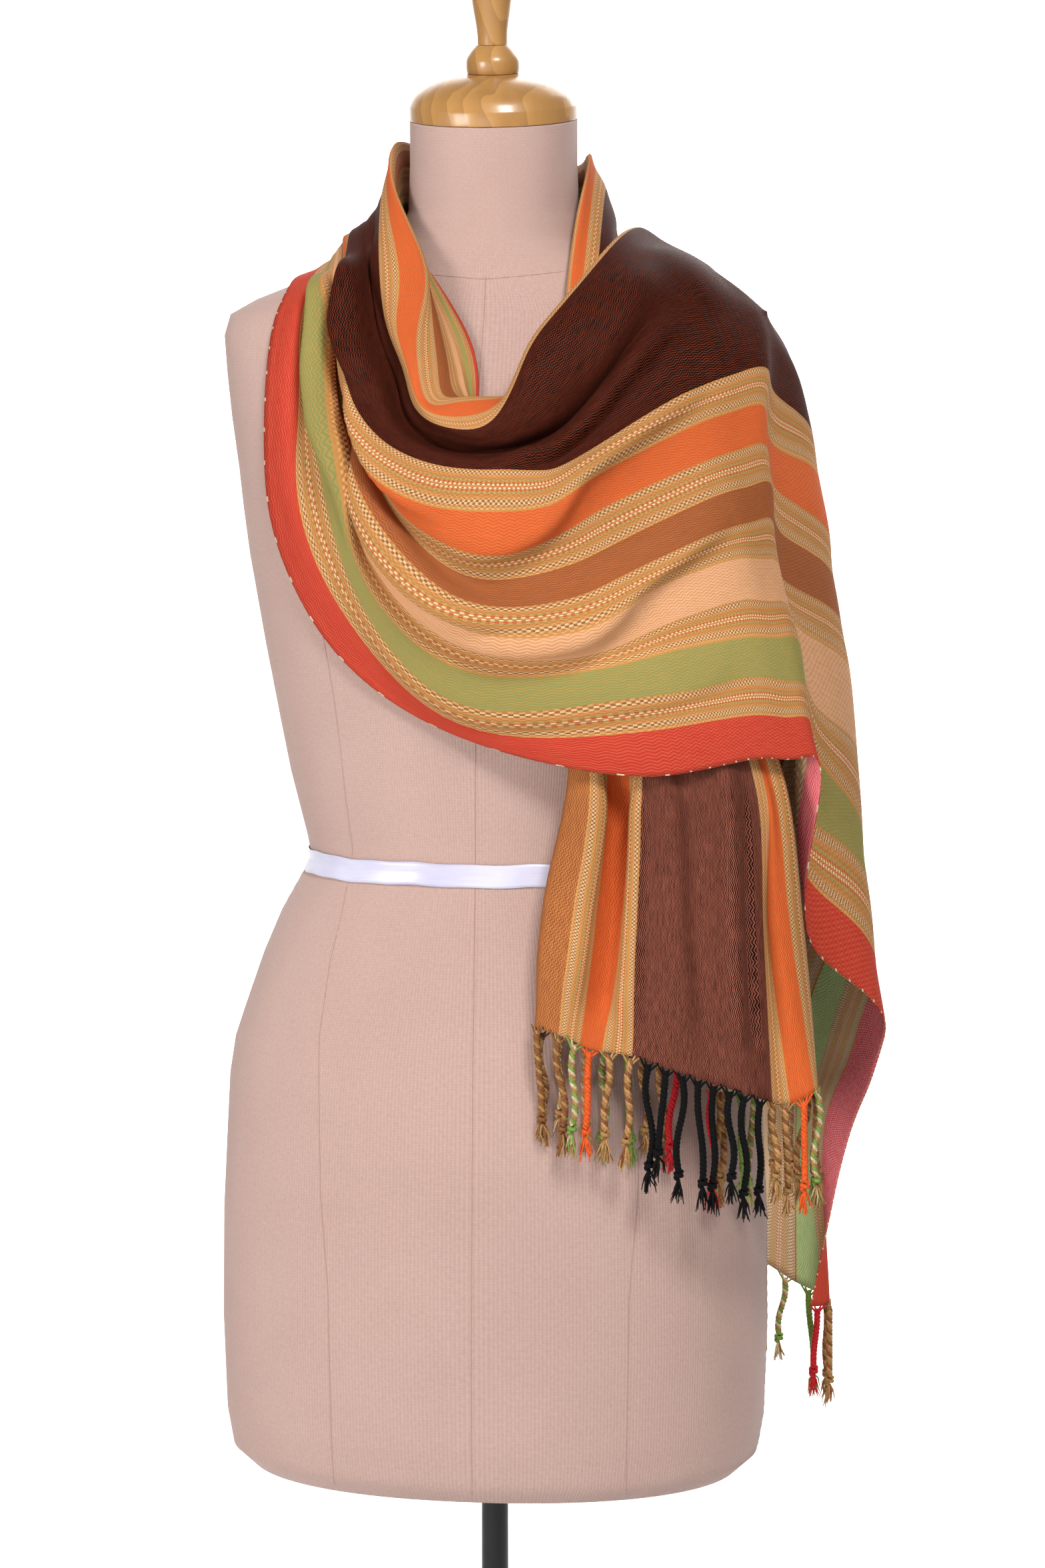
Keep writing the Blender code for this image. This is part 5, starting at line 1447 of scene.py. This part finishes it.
@dataclass
class DressForm:
    """The padded body, its cover's seams and the satin waist tape."""

    jersey: bpy.types.Material
    seam: bpy.types.Material
    satin: bpy.types.Material
    sides: int = 128
    row_step: float = 7.0

    def heights(self) -> Array:
        """Ring heights, close together where the body turns."""
        table = [row[0] for row in FORM_SECTIONS]
        steps = [np.arange(low, high, self.row_step) for low, high in zip(table, table[1:])]
        return np.append(np.concatenate(steps), table[-1])

    def body(self) -> bpy.types.Object:
        """The covered body as one closed skin."""
        heights = self.heights()
        angles = np.linspace(0.0, 2.0 * math.pi, self.sides + 1)
        net = form_skin(angles[None, :], heights[:, None])
        low, high = net[:1], net[-1:]
        centre_low = np.mean(low, axis=1, keepdims=True)
        centre_high = np.mean(high, axis=1, keepdims=True)
        lows = [centre_low + (low - centre_low) * share for share in UNDER_SHARES]
        highs = [centre_high + (high - centre_high) * share for share in TOP_SHARES]
        net = np.concatenate([*lows, net, *highs], axis=0)
        girth = np.linspace(0.0, HIP_GIRTH, self.sides + 1)
        rise = np.concatenate([heights[0] + np.array(UNDER_RISE), heights, heights[-1] + np.array(TOP_RISE)])
        flat = np.stack(np.meshgrid(girth, rise), axis=-1)
        return grid_sheet("form_body", net, flat, [self.jersey], closed=True)

    def stitched(self, across: Array, heights: Array) -> list[tuple[Array, Array, int]]:
        """A seam line down the front: a thin welt and the stitches beside it."""
        fine = np.linspace(heights[0], heights[-1], 220)
        place = np.interp(-fine, -heights, across)
        return self.welt(form_skin(front_angle(place, fine), fine, SEAM_PROUD))

    def welt(self, path: Array) -> list[tuple[Array, Array, int]]:
        """A thin sunk welt with short stitches along it."""
        paths = [(path, np.full(len(path), WELT_RADIUS), 0)]
        out = surface_out(path)
        for start in range(1, len(path) - 2, 2):
            dash = np.array([path[start], path[start + 1]]) + out[start] * STITCH_PROUD
            paths.append((dash, np.full(2, STITCH_RADIUS), 0))
        return paths

    def seams(self) -> bpy.types.Object:
        """The cover's seams."""
        paths = []
        for table, sign in ((CENTRE_SEAM, 1.0), (PRINCESS_SEAM, 1.0), (PRINCESS_SEAM, -1.0)):
            rows = np.array(table)
            paths += self.stitched(rows[:, 0] * sign, rows[:, 1])
        ring = np.array(NECK_SEAM)
        angles = np.linspace(0.0, -360.0, 160)
        height = np.interp(-angles, -ring[:, 0], ring[:, 1])
        paths += self.welt(form_skin(np.radians(angles), height, SEAM_PROUD))
        for _, angle, low, high in PLAIN_SEAMS:
            fine = np.linspace(high, low, 200)
            paths += self.welt(form_skin(np.full(200, math.radians(angle)), fine, SEAM_PROUD))
        return strands("form_seams", paths, [self.seam], 0)

    def tape(self) -> bpy.types.Object:
        """The satin tape round the waist, with a soft edge."""
        angles = np.linspace(0.0, 2.0 * math.pi, 193)
        rows = np.linspace(TAPE_BOTTOM, TAPE_TOP, 9)
        curl = 0.35 * np.sin(angles * 9.0)[None, :] + 0.25 * np.sin(angles * 23.0 + 1.0)[None, :]
        crown = 0.5 * np.sin(np.linspace(0.0, math.pi, 9))[:, None]
        net = form_skin(angles[None, :], rows[:, None] + 0.0 * angles[None, :], TAPE_GAP + 0.3)
        out = form_skin(angles[None, :], rows[:, None] + 0.0 * angles[None, :], TAPE_GAP + 1.3) - net
        net = net + out * (crown + 0.25 + 0.25 * curl)[..., None]
        net[..., 2] += curl * 1.2
        width = TAPE_TOP - TAPE_BOTTOM
        flat = np.stack(np.meshgrid(np.linspace(0.0, WAIST_GIRTH, 193), np.linspace(0.0, width, 9)), axis=-1)
        tape = grid_sheet("waist_ribbon", net, flat, [self.satin], closed=True)
        solid = tape.modifiers.new("thickness", "SOLIDIFY")
        solid.thickness = RIBBON_THICKNESS * MM
        solid.offset = 0.0
        return tape

    def build(self) -> list[bpy.types.Object]:
        """Make the form's pieces, and hide the CAD parts that they take the place of."""
        body, seams, tape = self.body(), self.seams(), self.tape()
        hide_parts("form_torso")
        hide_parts("waist_tape")
        return [body, seams, tape]


def surface_out(path: Array) -> Array:
    """Level directions out from the form's axis."""
    out = path * np.array([1.0, 1.0, 0.0])
    return out / np.maximum(np.linalg.norm(out, axis=1, keepdims=True), 1e-6)


@dataclass
class Stand:
    """The round base, socket, pole, and the turned wood on the neck."""

    enamel: bpy.types.Material
    pine: bpy.types.Material
    sides: int = 96

    def turned(self, name: str, profile: tuple, material: bpy.types.Material, lift: float = 0.0,
               tilt: float = 0.0, foot: Point = (0.0, 0.0, 0.0), bevel: float = 0.0) -> bpy.types.Object:
        """Spin a profile of radius and height pairs into a closed solid."""
        shape = bmesh.new()
        pairs = ((0.0, profile[0][1]), *profile, (0.0, profile[-1][1]))
        outline = [shape.verts.new((radius, 0.0, height + lift)) for radius, height in pairs]
        edges = [shape.edges.new(pair) for pair in zip(outline, outline[1:])]
        bmesh.ops.spin(shape, geom=outline + edges, axis=(0.0, 0.0, 1.0), cent=(0.0, 0.0, 0.0),
                       steps=self.sides, angle=2.0 * math.pi, use_merge=True)
        bmesh.ops.remove_doubles(shape, verts=shape.verts, dist=0.001)
        bmesh.ops.recalc_face_normals(shape, faces=shape.faces)
        bmesh.ops.rotate(shape, verts=shape.verts, cent=(0.0, 0.0, 0.0), matrix=Matrix.Rotation(tilt, 3, "X"))
        bmesh.ops.translate(shape, verts=shape.verts, vec=foot)
        item = finish_mesh(name, shape, [material])
        item.data.set_sharp_from_angle(angle=SHARP_ANGLE)
        if bevel:
            edge = item.modifiers.new("worn edge", "BEVEL")
            edge.width = bevel * MM
            edge.segments = 3
            edge.limit_method = "ANGLE"
            edge.angle_limit = SHARP_ANGLE
        return item

    def smooth_profile(self, profile: tuple, keep: int = 0) -> tuple:
        """Round a profile, leaving its first rows as they are."""
        table = np.array(profile)
        last = len(table) - keep - 1
        fine = spline(table[keep:], np.linspace(0.0, last, last * PROFILE_STEPS + 1))
        rows = [tuple(row) for row in table[:keep]] + [tuple(row) for row in fine]
        return tuple((float(radius), float(height)) for radius, height in rows)

    def build(self) -> list[bpy.types.Object]:
        """Make the stand and the turned wood, and hide the CAD parts that they take the place of."""
        disc = ((BASE_RADIUS, 0.0), (BASE_RADIUS, BASE_HEIGHT - BASE_BEVEL),
                (BASE_RADIUS - BASE_BEVEL, BASE_HEIGHT))
        base = self.turned("base_disc", disc, self.enamel, bevel=WORN_EDGE)
        socket_foot = BASE_HEIGHT + TOUCH_GAP
        cup = ((SOCKET_RADIUS, 0.0), (SOCKET_RADIUS, SOCKET_HEIGHT * 0.6), (POLE_RADIUS + 2.0, SOCKET_HEIGHT))
        socket = self.turned("pole_cup", cup, self.enamel, lift=socket_foot, bevel=WORN_EDGE)
        pole_foot = socket_foot + SOCKET_HEIGHT + TOUCH_GAP
        pole_length = TORSO_BOTTOM - TOUCH_GAP - pole_foot
        pole = self.turned("pole_tube", ((POLE_RADIUS, 0.0), (POLE_RADIUS, pole_length)), self.enamel,
                           lift=pole_foot)
        place = (0.0, 0.0, NECK_TOP)
        cap = self.turned("cap_wood", self.smooth_profile(CAP_PROFILE, 1), self.pine, tilt=NECK_TILT,
                          foot=place, bevel=CAP_BEVEL)
        collar_lift = CAP_PROFILE[-1][1] + TOUCH_GAP
        collar = self.turned("collar_wood", self.smooth_profile(COLLAR_PROFILE), self.pine, lift=collar_lift,
                             tilt=NECK_TILT, foot=place)
        finial_lift = collar_lift + COLLAR_PROFILE[-1][1] + TOUCH_GAP
        finial = self.turned("finial_wood", self.smooth_profile(FINIAL_PROFILE), self.pine, lift=finial_lift,
                             tilt=NECK_TILT, foot=place)
        stands_for = {base: "stand_base", socket: "pole_socket", pole: "stand_pole", cap: "neck_cap",
                      collar: "cap_collar", finial: "finial"}
        for piece, node in stands_for.items():
            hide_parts(node)
        return list(stands_for)


# Paper: half its width, then places along it from the front, where it sweeps up and where it ends
PAPER_HALF_WIDTH = 3200.0
PAPER_FRONT = -4200.0
SWEEP_START = 1600.0
SWEEP_RADIUS = 1200.0
SWEEP_END = 3485.0
PAPER_END = 6200.0
WARM_WHITE = (1.0, 0.985, 0.965)
WHITE = (1.0, 1.0, 1.0)
# Lights: name, place, target, size in metres, power in watts, colour
LIGHTS = (
    ("key_softbox", (0.8, -1.9, 2.8), (0.03, 0.0, 0.98), 0.7, 62.0, WARM_WHITE),
    ("second_softbox", (-1.6, -2.0, 1.3), (0.0, 0.0, 0.85), 0.9, 42.0, WARM_WHITE),
    ("low_softbox", (-0.3, -3.0, 0.9), (0.0, 0.0, 0.8), 1.0, 8.0, WARM_WHITE),
    ("rim_softbox", (0.6, 1.9, 2.5), (0.03, 0.0, 0.98), 1.6, 22.0, WHITE),
    ("paper_wash", (0.0, 1.2, 2.3), (0.0, 4.0, 1.9), 2.4, 150.0, WHITE),
)
# Strength of the world's light, and how bright the camera sees it
AIR_LIGHT = 0.2
AIR_SEEN = 1.0


@dataclass
class Studio:
    """White paper, soft lights and the camera at the photograph's view."""

    turn: float = math.radians(5.7)
    pitch: float = math.radians(6.93)
    distance: float = 2.45
    shift: float = 0.0189
    eye: float = 1.1965
    lens: float = 84.32

    def camera(self) -> None:
        """Place the camera."""
        level = Vector((-math.sin(self.turn), math.cos(self.turn), 0.0))
        right = Vector((math.cos(self.turn), math.sin(self.turn), 0.0))
        ahead = level * math.cos(self.pitch) + Vector((0.0, 0.0, -math.sin(self.pitch)))
        up = right.cross(ahead)
        lens = bpy.data.cameras.new("studio_camera")
        lens.sensor_fit = "VERTICAL"
        lens.sensor_height = 36.0
        lens.lens = self.lens
        holder = bpy.data.objects.new("studio_camera", lens)
        place = Matrix((right, up, -ahead)).transposed().to_4x4()
        place.translation = -level * self.distance + right * self.shift + Vector((0.0, 0.0, self.eye))
        holder.matrix_world = place
        bpy.context.scene.collection.objects.link(holder)
        bpy.context.scene.camera = holder

    def light(self, name: str, place: Point, target: Point, size: float, power: float, colour: Point) -> None:
        """Add a soft light that faces a target."""
        lamp = bpy.data.lights.new(name, "AREA")
        lamp.size = size
        lamp.energy = power
        lamp.color = colour
        holder = bpy.data.objects.new(name, lamp)
        aim = Vector(target) - Vector(place)
        holder.location = place
        holder.rotation_euler = aim.to_track_quat("-Z", "Y").to_euler()
        bpy.context.scene.collection.objects.link(holder)

    def paper(self, material: bpy.types.Material) -> bpy.types.Object:
        """The floor that sweeps up behind the stand."""
        places = np.linspace(-PAPER_HALF_WIDTH, PAPER_HALF_WIDTH, 9)
        run = np.concatenate([np.linspace(PAPER_FRONT, SWEEP_START, 12)[:-1],
                              np.linspace(SWEEP_START, SWEEP_END, 16),
                              np.linspace(SWEEP_END, PAPER_END, 6)[1:]])
        turn = np.clip((run - SWEEP_START) / SWEEP_RADIUS, 0.0, math.pi / 2.0)
        beyond = np.maximum(run - SWEEP_END, 0.0)
        depth = np.where(run < SWEEP_START, run, SWEEP_START + SWEEP_RADIUS * np.sin(turn))
        height = SWEEP_RADIUS * (1.0 - np.cos(turn)) + beyond
        x, y = np.meshgrid(places, depth)
        z = np.repeat(height[:, None], len(places), axis=1)
        flat = np.stack([x, np.repeat(run[:, None], len(places), axis=1)], axis=-1)
        return grid_sheet("studio_paper", np.stack([x, y, z], axis=-1), flat, [material])

    def build(self, material: bpy.types.Material) -> None:
        """Set the scene round the object."""
        self.camera()
        for row in LIGHTS:
            self.light(*row)
        bpy.context.scene.view_settings.view_transform = "Standard"
        world = bpy.data.worlds.new("studio_air")
        world.use_nodes = True
        seen = add_node(world.node_tree, "LightPath", {})
        strength = add_node(world.node_tree, "MapRange", {"Value": seen, "To Min": AIR_LIGHT,
                                                          "To Max": AIR_SEEN})
        air = world.node_tree.nodes["Background"]
        air.inputs["Color"].default_value = (1.0, 1.0, 1.0, 1.0)
        world.node_tree.links.new(strength, air.inputs["Strength"])
        bpy.context.scene.world = world
        self.paper(material)


FACE_YARNS = ("100604", "CC5E2E", "864B2B", "CC9C78", "7E7F4A", "B03428")
FACE_TWILL = StripedTwill("striped_twill_face", FACE_YARNS,
                          ("5E2616", "B0562F", "A05C34", "BE8658", "9C8448", "BC4E38"))
# The tail is the same cloth as the wrap, painted lighter: paler weft in the dark and brown stripes and more
# weft strokes stand in for the fuller light on the tail
TAIL_TWILL_PAINTED_LIGHT = StripedTwill("striped_twill_tail_painted_light", FACE_YARNS,
                          ("8C5040", "A84E26", "B0703E", "BE8658", "9C8448", "BC4E38"), cover=1.1)
BACK_BAND = (
    (0.0, "D8BE98", "B48E62"), (0.06, "E8D8BA", "A8805C"), (0.18, "D0B084", "C29A6A"),
    (0.37, "C8855C", "D8B890"), (0.42, "EADCC0", "B8906A"), (0.46, "C8855C", "D8B890"),
    (0.5, "EADCC0", "B8906A"), (0.54, "C8855C", "D8B890"), (0.59, "D0B084", "C29A6A"),
    (0.77, "E8D8BA", "A8805C"), (0.91, "D8BE98", "B48E62"),
)
BACK_TWILL = StripedTwill("striped_twill_back",
                          ("0E0A0B", "C85A34", "7C4E34", "DCC0A0", "9CB872", "CE4452"),
                          ("6A5C52", "B0563A", "94643E", "CDB28C", "C2D8A4", "EE9EA0"), band=BACK_BAND)


def main() -> None:
    """Build the stand, the form and the shawl, then the studio round them."""
    logging.basicConfig(level=logging.INFO, format="%(name)s: %(message)s")
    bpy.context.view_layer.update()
    yarns = {yarn: TwistedCotton(yarn).build() for yarn in Yarn}
    stand = Stand(StoveEnamel("black_stove_enamel").build(), TurnedPine("varnished_pine").build())
    form = DressForm(RibbedJersey("ribbed_jersey").build(),
                     RibbedJersey("seam_jersey", colour="BE9A90", shadow="A27E75").build(),
                     SatinRibbon("satin_ribbon").build())
    shawl = Shawl(FACE_TWILL.build(), TAIL_TWILL_PAINTED_LIGHT.build(), BACK_TWILL.build(), yarns)
    pieces = stand.build() + form.build() + shawl.build()
    for piece in pieces:
        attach(piece, "root")
        log.info("%s: %d faces", piece.name, len(piece.data.polygons))
    Studio().build(BackdropPaper("studio_paper").build())


if __name__ == "__main__":
    main()
